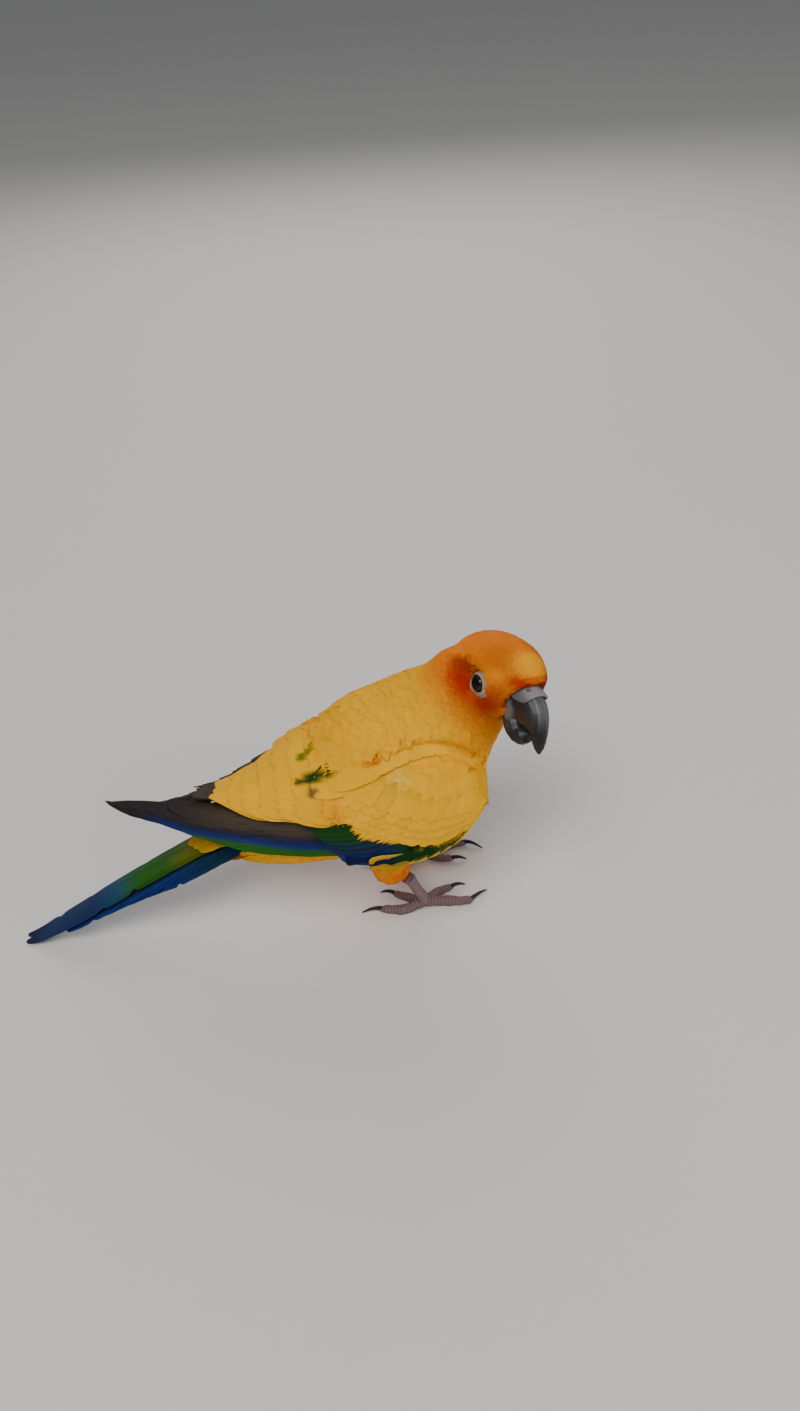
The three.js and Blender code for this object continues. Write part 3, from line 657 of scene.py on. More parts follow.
def ventCone():  # rear of the trunk, closed round the tail's root
    rings, around = ventShape["rings"], ventShape["around"]
    angles = np.linspace(0, 2 * np.pi, around, endpoint=False)
    points = []
    for x in np.linspace(ventShape["start"], ventShape["end"], rings):
        up, down, side = (
            float(tableValue(trunkRows, key, x)) - ventShape["inside"] for key in ("up", "down", "side"))
        high = np.where(np.sin(angles) > 0, up, down)
        middle = float(tableValue(trunkRows, "z", x))
        ring = [np.full(around, x), np.cos(angles) * side, middle + np.sin(angles) * high]
        points.append(np.stack(ring, 1))
    faces = []
    for first in range(0, (rings - 1) * around, around):
        for j in range(around):
            k = (j + 1) % around
            faces.append((first + j, first + k, first + around + k, first + around + j))
    faces.append(tuple(range(around))[::-1])
    faces.append(tuple(range((rings - 1) * around, rings * around)))
    cone = objectOf("vent_cone", bpy.data.meshes.new("vent_cone"))
    cone.data.from_pydata(toPart(np.concatenate(points)).tolist(), [], faces)
    facedOut(cone)
    return cone


def buildSkin():
    flesh = copyOf(["head", "neck", "torso", "right_thigh", "left_thigh"], "flesh")
    rear = copyOf(["rump", "tail"], "rear")
    cutBehind(rear, skinShape["rumpCut"])
    wings = copyOf([f"wing_{name}_{part}" for _, name in sides
                    for part in ("coverts", "primaries", "secondaries")], "wings")
    cutBehind(wings, skinShape["wingCut"])
    skin = joined([flesh, rear, wings, ventCone()], "skin")
    remeshed(skin, skinShape["voxel"], skinShape["grow"], skinShape["rounds"])
    points = toFeet(places(skin))
    depth = mix(skinShape["depth"], skinShape["headDepth"], headShare(points))
    depth = mix(depth, skinShape["legDepth"], legShare(points)) + skinShape["grow"]
    setPlaces(skin, places(skin) - pointNormals(skin) * depth[:, None] * mm)
    applied(skin, "SMOOTH", factor=0.5, iterations=4)
    # painted shade: the skin shows only in the gaps between the feathers, so it takes their colours darkened
    colours = markingsAndPaintedLight(toFeet(places(skin))) * skinShape["shade"]  # darker than the feathers over it
    skin.data.uv_layers.new(name="OFBake")
    editAll(skin, bpy.ops.uv.smart_project, angle_limit=math.radians(66), island_margin=0.003)
    flesh = ("head", "neck", "torso", "rump", "right_thigh", "left_thigh")
    finished(skin, colours, skinFinish(), "yellow_feathers", *flesh)
    return skin


skin = buildSkin()
print("skin", len(skin.data.polygons), "faces")


class Surface:  # nearest places on a mesh, in feet millimetres
    def __init__(self, piece):
        piece.data.calc_loop_triangles()
        self.points = toFeet(places(piece))
        self.faces = readAll(piece.data.loop_triangles, "vertices", 3, np.int32)
        self.loops = readAll(piece.data.loop_triangles, "loops", 3, np.int32)
        self.faceNormals = unit(pointNormals(piece)[self.faces].sum(axis=1))
        self.tree = BVHTree.FromPolygons(self.points.tolist(), self.faces.tolist())

    def nearest(self, points):
        found = [self.tree.find_nearest(point) for point in points.tolist()]
        spots = np.array([hit[0] for hit in found])
        index = np.array([hit[2] for hit in found])
        return spots, self.faceNormals[index], index

    def height(self, points):  # over the surface, and below 0 inside it
        spots, found, _ = self.nearest(points)
        return np.sum((points - spots) * found, axis=1)

    def follow(self, points, normals):  # nearest place, or the point itself well off the mesh
        spots, found, _ = self.nearest(points)
        keep = ramp(np.linalg.norm(points - spots, axis=1), 0.8, 2.5)[:, None]
        return mix(spots, points, keep), unit(mix(found, normals, keep))

    def scatter(self, spacingAt, tries, allowed):  # roots at least a spacing apart
        corners = self.points[self.faces]
        edges = corners[:, 1:] - corners[:, :1]
        area = np.linalg.norm(np.cross(edges[:, 0], edges[:, 1]), axis=1) / 2
        middle = corners.mean(axis=1)
        weight = area / spacingAt(middle) ** 2 * allowed(middle)
        chosen = draw.choice(len(weight), tries, p=weight / weight.sum())
        a, b = draw.random((2, tries, 1))
        flip = a + b > 1
        a = np.where(flip, 1 - a, a)
        b = np.where(flip, 1 - b, b)
        spots = corners[chosen, 0] + a * edges[chosen, 0] + b * edges[chosen, 1]
        spacing = spacingAt(spots)
        limits = (spacing**2).tolist()
        cells = np.floor(spots / spacing.max()).astype(int).tolist()
        steps = [(i, j, k) for i in (-1, 0, 1) for j in (-1, 0, 1) for k in (-1, 0, 1)]
        grid = {}
        kept = []
        for n, (x, y, z) in enumerate(spots.tolist()):
            i, j, k = cells[n]
            near = (spot for di, dj, dk in steps for spot in grid.get((i + di, j + dj, k + dk), ()))
            if all((p - x) ** 2 + (q - y) ** 2 + (r - z) ** 2 >= limits[n] for p, q, r in near):
                grid.setdefault((i, j, k), []).append((x, y, z))
                kept.append(n)
        return spots[kept], self.faceNormals[chosen[kept]]


# One feather of the coat: a thin closed vane with a keel, and slivers of barb round its tip

vane = dict(
    stations=(0, 0.22, 0.45, 0.66, 0.84, 1.0), outline=(0.22, 0.78, 1.0, 0.98, 0.74, 0.2),
    thickness=0.09, ragged=0.05, kinds=6, bakePatch=(0.0012, 0.0024),
)
slivers = dict(count=9, half=0.14, spread=0.95, start=0.93, bow=0.33, reach=(0.18, 0.34), fan=1.06, rise=0.1)


def vaneTemplate():
    spots = []  # share along, share across, level in thicknesses
    faces = []
    for s, half in zip(vane["stations"], vane["outline"]):
        width = half * (1 + draw.normal(0, vane["ragged"]))
        for u in (-1, -0.5, 0, 0.5, 1):
            spots.append((s, u * width, 0))
        spots.append((s, 0, -1))
    last = (len(vane["stations"]) - 1) * 6
    for first in range(0, last, 6):
        for j in range(6):
            a, b = first + j, first + (j + 1) % 6
            faces.append((a, a + 6, b + 6, b))
    faces.append((0, 1, 2, 3, 4, 5))
    faces.append(tuple(last + j for j in (5, 4, 3, 2, 1, 0)))
    half, spread = slivers["half"], slivers["spread"]
    for n in range(slivers["count"]):
        u = mix(-spread, spread, n / (slivers["count"] - 1)) + draw.normal(0, vane["ragged"])
        base = slivers["start"] - slivers["bow"] * abs(u) ** 2
        tip = base + draw.uniform(*slivers["reach"])
        first = len(spots)
        spots += [(base, u - half, 0), (base, u + half, 0), (base, u, -1)]
        spots.append((tip, u * slivers["fan"] + draw.normal(0, vane["ragged"]), slivers["rise"]))
        faces += [(first, first + 3, first + 1), (first + 1, first + 3, first + 2)]
        faces += [(first + 2, first + 3, first), (first, first + 1, first + 2)]
    return np.array(spots, float), faces


vaneKinds = [vaneTemplate() for _ in range(vane["kinds"])]


def layRails(surface, feathers):  # three lines down each feather that follow the surface
    stations = vane["stations"]
    centre, normal = feathers["root"], feathers["normal"]
    half = feathers["half"][:, None]
    rails = np.empty((len(centre), len(stations), 3, 3))
    ups = np.empty_like(rails)
    run = flatten(feathers["lie"], normal)
    for k, s in enumerate(stations):
        if k:
            ahead = centre + run * ((s - stations[k - 1]) * feathers["length"])[:, None]
            centre, normal = surface.follow(ahead, normal)
            run = flatten(run, normal)
        side = np.cross(normal, run)
        rails[:, k, 1], ups[:, k, 1] = centre, normal
        for j in (0, 2):
            rails[:, k, j], ups[:, k, j] = surface.follow(centre + side * (j - 1) * half, normal)
    return rails, ups


def shapeVanes(rails, ups, spots, lift, crown, twist):
    stations = np.array(vane["stations"])
    s, u, level = spots[:, 0], spots[:, 1], spots[:, 2]
    k = np.clip(np.searchsorted(stations, s, side="right") - 1, 0, len(stations) - 2)
    share = ((s - stations[k]) / (stations[k + 1] - stations[k]))[None, :, None, None]

    def between(lines):  # from the middle line towards the left or right one
        trio = mix(lines[:, k], lines[:, k + 1], share)
        left, middle, right = trio[:, :, 0], trio[:, :, 1], trio[:, :, 2]
        toRight = np.maximum(u, 0)[None, :, None]
        toLeft = np.maximum(-u, 0)[None, :, None]
        return middle + (right - middle) * toRight + (left - middle) * toLeft

    height = (-0.2 + 0.6 * smooth(s[None] * 4)) + lift[:, None] * s[None]
    height = height + crown[:, None] * (1 - u[None] ** 2) * np.clip(s[None] * 2, 0, 1)
    height = height + twist[:, None] * u[None] * s[None] + level[None] * vane["thickness"]
    return between(rails) + unit(between(ups)) * height[:, :, None]


def faceArrays(faces):  # all corners in a row, and how many each face has
    return np.concatenate([np.array(face) for face in faces]), np.array([len(face) for face in faces])


def vanePiece(name, count, groups, crease, material, slot, *replaced):
    whole = {key: np.concatenate([group[key] for group in groups]) for key in groups[0]}
    starts = np.concatenate([[0], np.cumsum(whole["sizes"])[:-1]])
    piece = meshOf(name, whole["points"], whole["corners"], starts)
    paintPoints(piece, whole["tint"])
    for key in ("vane", "OFBake"):
        mapPoints(piece, key, whole[key], whole["corners"])
    activate(piece)
    bpy.ops.object.shade_smooth_by_angle(angle=math.radians(crease))
    dress(piece, material, slot, *replaced)
    print(name, count, "feathers", int((whole["sizes"] - 2).sum()), "triangles")


def coatPiece(name, feathers, material, slot):
    groups = []
    rails, ups = layRails(coatSurface, feathers)
    first = 0
    for kind, (spots, faces) in enumerate(vaneKinds):
        chosen = np.flatnonzero(feathers["kind"] == kind)
        if not len(chosen):
            continue
        only = {key: value[chosen] for key, value in feathers.items()}
        points = shapeVanes(rails[chosen], ups[chosen], spots, only["lift"], only["crown"], only["twist"])
        corners, sizes = faceArrays(faces)
        offsets = first + np.arange(len(chosen)) * len(spots)
        patch = (spots[:, [1, 0]] - [0, 0.5]) * vane["bakePatch"]
        groups.append(dict(
            points=points.reshape(-1, 3),
            corners=(corners[None] + offsets[:, None]).ravel(),
            sizes=np.tile(sizes, len(chosen)),
            tint=np.repeat(only["tint"], len(spots), axis=0),
            vane=np.tile(np.stack([spots[:, 1] * 0.5 + 0.5, spots[:, 0]], 1), (len(chosen), 1)),
            OFBake=(only["bake"][:, None] + patch).reshape(-1, 2),
        ))
        first += len(chosen) * len(spots)
    vanePiece(name, len(feathers["root"]), groups, 40, material, slot)


# Coat of body and head

coat = dict(
    body=11.5, neck=8.0, head=4.6, face=2.3, leg=6.5, spacing=0.27, breadth=0.36, lift=0.6, headLift=0.4,
    crown=0.012, tries=90000,
)
ringReach = table(  # the bare ring's edge round the eye: a bearing in degrees, nose at 0, and a distance
    "x reach", (-240, 4.0), (-180, 4.2), (-150, 4.3), (-120, 4.2), (-80, 4.7), (-58, 5.7), (-42, 6.7),
    (-30, 7.3), (-18, 6.5), (0, 5.4), (20, 4.8), (62, 4.3), (120, 4.0), (150, 4.1), (180, 4.2), (240, 4.2),
)


def featherLength(points):
    share = headShare(points)
    size = mix(coat["body"], coat["neck"], ramp(pastNeck(points), -40, -8))
    size = mix(size, coat["head"], share)
    face = np.linalg.norm(toHead(points) - np.array([12, 0, -4]), axis=1)
    size = mix(size, coat["face"], ramp(face, 17, 8) * share)
    return mix(size, coat["leg"], legShare(points))


def bareShare(inHead):  # below 1 inside the bare ring round either eye
    off = inHead - np.array([eyeSpot["x"], 0, eyeSpot["z"]])
    bearing = np.degrees(np.arctan2(off[:, 2], off[:, 0]))
    share = np.hypot(off[:, 0], off[:, 2]) / tableValue(ringReach, "reach", bearing)
    return np.where(np.abs(inHead[:, 1]) > 8, share, 9.0)


# Where the wing's own feathers lie, as shares of its height, distances from it and places along it
bareWing = dict(above=0.2, off=7, front=24, rear=-50, rearOff=5, rearShare=0.95)


def onCoat(points):  # 0 where no feather grows
    x, height, off = wingMap.at(points)
    edge = tableValue(coverEdge, "share", x) + bareWing["above"]
    covered = (height < edge) & (off < bareWing["off"]) & (x < bareWing["front"])
    hidden = (x < bareWing["rear"]) & (off < bareWing["rearOff"]) & (height < bareWing["rearShare"])
    bare = bareShare(toHead(points)) < 1.04
    return np.where(bare | covered | hidden, 0.0, 1.0)


cereRoom = copyOf(["cere"], "cere_room")
remeshed(cereRoom, 0.6, 0, 2)
cereSurface = Surface(cereRoom)
coatRoom = joined([objectOf("coat_room", skin.data.copy()), cereRoom], "coat_room")
coatSurface = Surface(coatRoom)
billBlock = copyOf(["upper_bill", "lower_bill"], "bill_room")
billSurface = Surface(billBlock)
for room in (coatRoom, billBlock):
    bpy.data.objects.remove(room)
skinSurface = Surface(skin)
skinMap = readAll(skin.data.uv_layers["OFBake"].data, "uv", 2)


def bakeSpots(points):  # the skin's map at the places nearest to these
    _, _, faces = skinSurface.nearest(points)
    return skinMap[skinSurface.loops[faces]].mean(axis=1)


def mayGrow(roots, normals):  # clear of bill and cere, and not on the wings' inner faces
    inHead = toHead(roots)
    brow = (inHead[:, 0] < 13.6) & (inHead[:, 2] > 3.2)  # feathered, though it lies on the cere
    clear = (billSurface.height(roots) > 0.9) & ((cereSurface.height(roots) > 0.45) | brow)
    inward = normals[:, 1] * np.sign(roots[:, 1]) < -0.05
    besideWing = (np.abs(roots[:, 1]) > 17) & (roots[:, 0] > -35) & (headShare(roots) < 0.2)
    return clear & ~(inward & besideWing)


def growCoat():
    roots, normals = coatSurface.scatter(
        lambda points: featherLength(points) * coat["spacing"], coat["tries"], onCoat)
    clear = mayGrow(roots, normals)
    roots, normals = roots[clear], normals[clear]
    length = featherLength(roots) * draw.uniform(0.88, 1.12, len(roots))
    share = headShare(roots)
    lie = unit(lieOf(roots) + draw.normal(0, 0.05, roots.shape))
    _, beyond, _ = coatSurface.nearest(roots + flatten(lie, normals) * length[:, None])
    fold = ramp(np.sum(normals * beyond, axis=1), 0, 0.75)
    length = length * mix(0.42, 1, fold)  # shorter where the surface folds away
    tint = markingsAndPaintedLight(roots + lie * length[:, None] * 0.6)
    tint = tint * draw.uniform(0.95, 1.04, (len(roots), 1)) * (1 + draw.normal(0, 0.015, tint.shape))
    return dict(
        root=roots, normal=normals, lie=lie, length=length, half=length * coat["breadth"],
        lift=mix(coat["lift"], coat["headLift"], share) * draw.uniform(0.8, 1.15, len(roots)),
        crown=length * coat["crown"], twist=draw.normal(0, 0.04, len(roots)),
        kind=draw.integers(0, vane["kinds"], len(roots)), tint=tint, bake=bakeSpots(roots),
    )


feathers = growCoat()
bodyPlumage = plumage("body_plumage", 26, 0.72, 0.25)
onHead = headShare(feathers["root"]) > 0.5
for side, name in sides:
    headHalf = onHead & (toHead(feathers["root"])[:, 1] * side > 0)
    bodyHalf = ~onHead & (feathers["root"][:, 1] * side > 0)
    for part, half, slot in (("head", headHalf, "orange_feathers"), ("body", bodyHalf, "yellow_feathers")):
        chosen = {key: value[half] for key, value in feathers.items()}
        coatPiece(f"{name}_{part}_feathers", chosen, bodyPlumage, slot)


# Long feathers: closed vanes on a path, with a shaft, two webs and ragged edges

def vaneGrid(stations, columns):  # shares along and across, level 0 on top and -1 below, and faces
    rows = 1 - (1 - np.linspace(0, 1, stations)) ** 1.35  # closer together towards the tip
    along, across = np.meshgrid(rows, np.linspace(-1, 1, columns), indexing="ij")
    s = np.tile(along.ravel(), 2)
    u = np.tile(across.ravel(), 2)
    count = stations * columns
    level = np.repeat([0.0, -1.0], count)
    faces = []
    for i in range(stations - 1):
        for j in range(columns - 1):
            a = i * columns + j
            b = a + columns
            faces.append((a, b, b + 1, a + 1))
            faces.append((a + count, a + 1 + count, b + 1 + count, b + count))
        a, b = i * columns, (i + 1) * columns
        faces.append((a, a + count, b + count, b))
        a, b = a + columns - 1, b + columns - 1
        faces.append((a, b, b + count, a + count))
    for j in range(columns - 1):
        last = (stations - 1) * columns + j
        faces.append((j, j + 1, j + 1 + count, j + count))
        faces.append((last, last + count, last + 1 + count, last + 1))
    return s, u, level, faces


def raggedEdge(s, u, slits):  # vane edges drawn in where barbs have parted, and a little uneven
    pull = 0.02 * np.sin(s * draw.uniform(60, 90) + draw.uniform(0, 6)) * np.abs(u) ** 3
    for _ in range(slits):
        at = draw.uniform(0.35, 0.98)
        edge = np.sign(draw.uniform(-1, 1)) * u > 0
        pull = pull + draw.uniform(0.3, 1) * 0.5 * bell(s, at, 0.012) * edge * np.abs(u) ** 2
    return u * (1 - pull)


def rounded(fromTip, full, least):  # breadth near a round tip, whole at a distance of full
    share = np.clip(fromTip / full, 0, 1)
    return mix(least, 1, np.sqrt(share * (2 - share)))


def vaneWidth(s, base, grown, tip, least):  # share of the whole breadth, from the root at 0 to 1
    return np.minimum(mix(base, 1, ramp(s, 0, grown)), rounded(1 - s, tip, least))


# Each long feather lies in a cell of its own on the map, its top beside its underside
bakeCell = dict(left=0.03, half=0.44, under=0.48, low=0.02, high=0.95)


def longPiece(name, makers, material, slot, *replaced, stations=18, columns=7, slits=2, thickness=0.22):
    s, u, level, faces = vaneGrid(stations, columns)
    corners, sizes = faceArrays(faces)
    rows = math.ceil(math.sqrt(len(makers) / 3))
    width = 1 / math.ceil(len(makers) / rows)
    across = u * 0.5 + 0.5
    groups = []
    for n, maker in enumerate(makers):
        points, tint = maker(s, raggedEdge(s, u, slits), level * thickness)
        left = n // rows + bakeCell["left"] + across * bakeCell["half"] + (level < 0) * bakeCell["under"]
        low = n % rows + bakeCell["low"] + s * bakeCell["high"]
        groups.append(dict(
            points=points, corners=corners + n * len(s), sizes=sizes, tint=tint,
            vane=np.stack([across, s], 1), OFBake=np.stack([left * width, low / rows], 1),
        ))
    vanePiece(name, len(makers), groups, 50, material, slot, *replaced)


# Flight feathers of the folded wings

flight = dict(
    primaryTips=[-119, -123, -124, -123, -120, -115, -109, -103, -96, -89],
    secondaryTips=[-99, -96, -93, -89, -84, -79, -75, -72],
    level=-4.9, pitch=0.88, half=4.6, start=-6, blunt=11, tipHalf=0.25,
)
flightOrder = dict(primaryTips=(0, 6), secondaryTips=(6.7, 4.45))  # first place and span across the wing
flightSpread = table(
    "x step middle tilt",
    (-126, 0.9, 1.4, 0.5),
    (-105, 1.0, 1.9, 0.6),
    (-88, 1.35, 3.2, 0.8),
    (-70, 1.6, 5, 1),
    (-50, 1.85, 5.4, 1),
    (-28, 3.1, 5.5, 1),
    (30, 3.1, 5.5, 1),
)


def flightTint(x, share, across):
    outer = ramp(across, -0.3, -0.5)  # the outer web's share
    green = ramp(share, 0.17, 0.08) * ramp(x, -98, -84) * ramp(x, -30, -40)
    blue = ramp(share, 0.42, 0.2) * ramp(x, -114, -98)
    sheen = ramp(x, -104, -70) * ramp(share, 0.28, 0.5)
    return layers(
        "soot", ("umber", sheen * 0.9), ("navy", blue * (0.45 + 0.5 * outer)),
        ("cobalt", blue * outer * ramp(share, 0.4, 0.1) * 0.4), ("leaf", green * (0.35 + 0.65 * outer)))


def flightMaker(side, index, tip):
    jitter = draw.normal(0, 0.12)
    tone = draw.uniform(0.88, 1.12)

    def make(s, u, thick):
        x = mix(flight["start"], tip, s)
        step, middle, tilt = (tableValue(flightSpread, key, x) for key in ("step", "middle", "tilt"))
        tilt = tilt * flight["pitch"] / step
        half = mix(1.0, flight["half"], ramp(-x, 26, 50))
        half = half * rounded(x - tip, flight["blunt"], flight["tipHalf"])
        along = (index - middle) * step + u * half + jitter
        share = 0.5 + along / wingHeight(x)
        depth = flight["level"] + (index - middle) * flight["pitch"] - tilt * along
        depth = depth + 0.25 * (1 - u**2) + thick
        return wingPoint(side, x, share, depth), flightTint(x, share, u) * tone
    return make


def flightMakers(side):
    makers = []
    for key, (first, span) in flightOrder.items():
        tips = flight[key]
        for n, tip in enumerate(tips):
            makers.append(flightMaker(side, first + n * span / (len(tips) - 1), tip))
    return makers


# Coverts on the wing's face: from root to tip, each an x and a share of the height

def coverMaker(side, root, tip, half, level, paint, tilt=0.12, rise=0.0, sunk=1.2):
    lean = draw.normal(0, 0.03)
    tone = draw.uniform(0.93, 1.06)
    run = np.array([tip[0] - root[0], (tip[1] - root[1]) * float(wingHeight((root[0] + tip[0]) / 2))])
    run = run / np.linalg.norm(run)

    def make(s, u, thick):
        x = mix(root[0], tip[0], s)
        share = mix(root[1], tip[1], s)
        aside = u * (half * vaneWidth(s, 0.3, 0.35, 0.42, 0.12))
        depth = level + rise * s - sunk * (1 - s) ** 2 - (tilt + lean) * aside + 0.3 * (1 - u**2) + thick
        spot = wingPoint(side, x + run[1] * aside, share - run[0] * aside / wingHeight(x), depth)
        return spot, addMarks(paint(x, share, u, s), spot) * tone
    return make


def darkCovert(x, share, u, s):  # navy below, dark green above and in front, with paler edges
    low = ramp(share, 0.3, 0.1) * 0.35 * (s > 0.2)
    return layers("navy", ("pine", ramp(share, 0.34, 0.5)), ("cobalt", low), ("pine", ramp(x, -16, -6)),
                  ("leaf", ramp(np.abs(u), 0.7, 1) * 0.35))


def greenCovert(x, share, u, s):
    return layers("pine", ("leaf", ramp(s, 0.3, 0.9) * 0.5), ("lemon", ramp(u, -0.2, -0.7) * 0.95))


def yellowCovert(x, share, u, s):
    return layers("gold", ("olive", ramp(s, 0.5, 0.1) * 0.25), ("lemon", ramp(np.abs(u), 0.5, 1) * 0.3))


def oliveCovert(x, share, u, s):
    return layers("gold", ("olive", 0.6 + 0 * s), ("leaf", ramp(s, 0.9, 0.4) * 0.3),
                  ("lemon", ramp(np.abs(u), 0.6, 1) * 0.5))


greater = dict(  # over the roots of the flight feathers
    count=9, roots=((4, 0.16), (-18, 0.66)), tips=((-33, 0.05), (-45, 0.66)), half=4.4, level=-2.1, step=0.06,
)
lowerEdge = dict(  # along the front and lower edge
    count=6, roots=((29, 0.2), (8, 0.1)), tips=((13, -0.02), (-14, -0.03)), half=3.6, level=-1.6, step=-0.1,
)
yellowRows = dict(  # each row higher on the wing and over the one below
    count=15, tips=(21, -40), above=(0.0, 0.09, 0.18, 0.27), levels=(-1.3, -0.9, -0.5, -0.2), half=4.3,
    narrower=0.3, along=9.5, up=7.5, foremost=27, jitter=0.5,
)
upperEdge = dict(  # over the seam with the back
    count=15, tips=(5, -46), length=15, rootShare=1.06, tipShare=0.97, half=4.2, levels=(-1.2, 0.1),
    jitter=0.6,
)


def coverMakers(side):
    makers = []
    for row, paint in ((greater, darkCovert), (lowerEdge, greenCovert)):
        for n in range(row["count"]):
            t = n / (row["count"] - 1)
            root, tip = ([mix(a, b, t) for a, b in zip(*row[ends])] for ends in ("roots", "tips"))
            level = row["level"] + row["step"] * n
            makers.append(coverMaker(side, root, tip, row["half"], level, paint, rise=0.2))
    makers.append(coverMaker(side, (-2, 0.01), (-22, 0.1), 4.2, -0.5, oliveCovert, rise=0.3))
    last = yellowRows["count"] - 1
    for row, level in enumerate(yellowRows["levels"]):
        half = yellowRows["half"] - yellowRows["narrower"] * row
        for n in range(last + 1):
            tipX = mix(*yellowRows["tips"], (n + 0.5 * (row % 2)) / last)
            tipX += draw.normal(0, yellowRows["jitter"])
            share = float(tableValue(coverEdge, "share", tipX)) + yellowRows["above"][row]
            rootX = min(tipX + yellowRows["along"], yellowRows["foremost"])
            root = (rootX, share + yellowRows["up"] / float(wingHeight(tipX)))
            makers.append(coverMaker(side, root, (tipX, share), half, level, yellowCovert, rise=0.5))
    last = upperEdge["count"] - 1
    for n in range(last + 1):
        tipX = mix(*upperEdge["tips"], n / last) + draw.normal(0, upperEdge["jitter"])
        level = mix(*upperEdge["levels"], min(n / 7, 1))
        root, tip = (tipX + upperEdge["length"], upperEdge["rootShare"]), (tipX, upperEdge["tipShare"])
        makers.append(coverMaker(
            side, root, tip, upperEdge["half"], level, yellowCovert, tilt=0.04, rise=0.6, sunk=1.6))
    return makers


# Tail

tailRows = table(
    "x y z", (-181, 2.2, -1), (-170, 1.8, 1.4), (-158, 1.2, 8.6), (-134, 0.6, 22.5), (-97, 0, 42),
    (-75, 0, 52), (-50, 0, 62),
)
tailSizes = table(
    "length side half splay", (138, 2.5, 5.0, 0), (117, 4.9, 4.6, 0), (101, 5.6, 4.3, 0.2),
    (87, 6.2, 4.1, 0.5), (76, 6.8, 3.9, 0.8), (67, 7.3, 3.6, 1.2),
)
tailShape = dict(root=2.5, roof=0.012, pitch=0.88, floor=0.3, tipSide=2.2)

tailX = np.linspace(-181, -50, 132)
tailLine = np.stack([tailX, tableValue(tailRows, "y", tailX), tableValue(tailRows, "z", tailX)], 1)[::-1]
tailReach = np.concatenate([[0], np.cumsum(np.linalg.norm(np.diff(tailLine, axis=0), axis=1))])


def tailSpot(distance):
    return np.stack([np.interp(distance, tailReach, tailLine[:, k]) for k in range(3)], 1)


def tailPoint(distance, aside, level):  # beside and above the tail's line, on a roof that ends flat
    run = unit((tailSpot(distance + 2) - tailSpot(distance - 2))[:, [0, 2]])
    flat = ramp(distance, tailReach[-1] - 30, tailReach[-1] - 10)
    level = level - tailShape["roof"] * aside**2 * (1 - flat)
    point = tailSpot(distance)
    point[:, 1] += aside
    point[:, 0] += run[:, 1] * level
    point[:, 2] += -run[:, 0] * level
    return point


def tailTint(distance, order, across):
    base = ramp(distance, 66, 44)
    blue = ramp(distance, 84, 104)
    outer = ramp(np.abs(across), 0.35, 0.8)
    if order == 0:
        return layers("leaf", ("olive", base * 0.8), ("cobalt", ramp(distance, 76, 96) * 0.7),
                      ("navy", blue * 0.75), ("soot", ramp(distance, 128, 142) * 0.6),
                      ("pine", outer * (1 - blue) * 0.5))
    return layers("soot", ("navy", 0.4 + 0.6 * outer), ("cobalt", outer * 0.5), ("pine", base * 0.5))


def tailMaker(order, side):  # the middle pair, order 0, lies on top and meets at its tips
    row = tailSizes[order]
    layer = (0 if side < 0 else -1) if order == 0 else -1 - order
    tone = draw.uniform(0.92, 1.08)

    def make(s, u, thick):
        distance = tailShape["root"] + row["length"] * s
        half = row["half"] * vaneWidth(s, 0.3, 0.14, 0.4, 0.1)
        rise = ramp(s, 0.75, 0.98) if order == 0 else 0 * s
        centre = row["side"] * mix(0.55, 1, ramp(s, 0, 0.2)) + row["splay"] * s
        centre = side * mix(centre, tailShape["tipSide"], rise)
        level = mix(layer * tailShape["pitch"] + 0 * s, (tailShape["pitch"] if side < 0 else 0) + 0 * s, rise)
        level = level + thick + 0.25 * (1 - u**2) * (1 - rise)
        point = tailPoint(distance, centre + u * half, level)
        point[:, 2] = np.maximum(point[:, 2], tailShape["floor"] + thick)
        return point, tailTint(distance, order, u * side) * tone
    return make


tailCovers = dict(above=2.7, below=-7.2, tiers=3, most=7, spacing=3.1, start=8, step=7, length=27, half=4.2)


def tailCoverMaker(start, length, aside, level, out):  # out is 1 above the tail and -1 below it
    tone = draw.uniform(0.93, 1.07)

    def make(s, u, thick):
        width = tailCovers["half"] * vaneWidth(s, 0.3, 0.3, 0.45, 0.12)
        lift = level - out * 0.6 * s + out * 0.35 * (1 - u**2) + thick
        point = tailPoint(start + length * s, aside + u * width, lift)
        if out > 0:
            shade = layers("gold", ("olive", ramp(s, 0.45, 1) * 0.55), ("amber", ramp(s, 0.6, 0.2) * 0.4))
        else:
            shade = layers("orange", ("olive", ramp(s, 0.4, 1) * 0.7), ("leaf", ramp(s, 0.7, 1) * 0.3))
        return point, shade * tone
    return make


def tailCoverMakers():
    makers = []
    for out, base in ((1, tailCovers["above"]), (-1, tailCovers["below"])):
        for tier in range(tailCovers["tiers"]):
            count = tailCovers["most"] - tier
            start = tailCovers["start"] + tailCovers["step"] * tier
            for n in range(count):
                aside = (n - (count - 1) / 2) * tailCovers["spacing"]
                level = base + out * 0.4 * (2 - tier) + 0.12 * (n % 2)
                length = tailCovers["length"] - 0.8 * abs(aside)
                makers.append(tailCoverMaker(start, length, aside, level, out))
    return makers


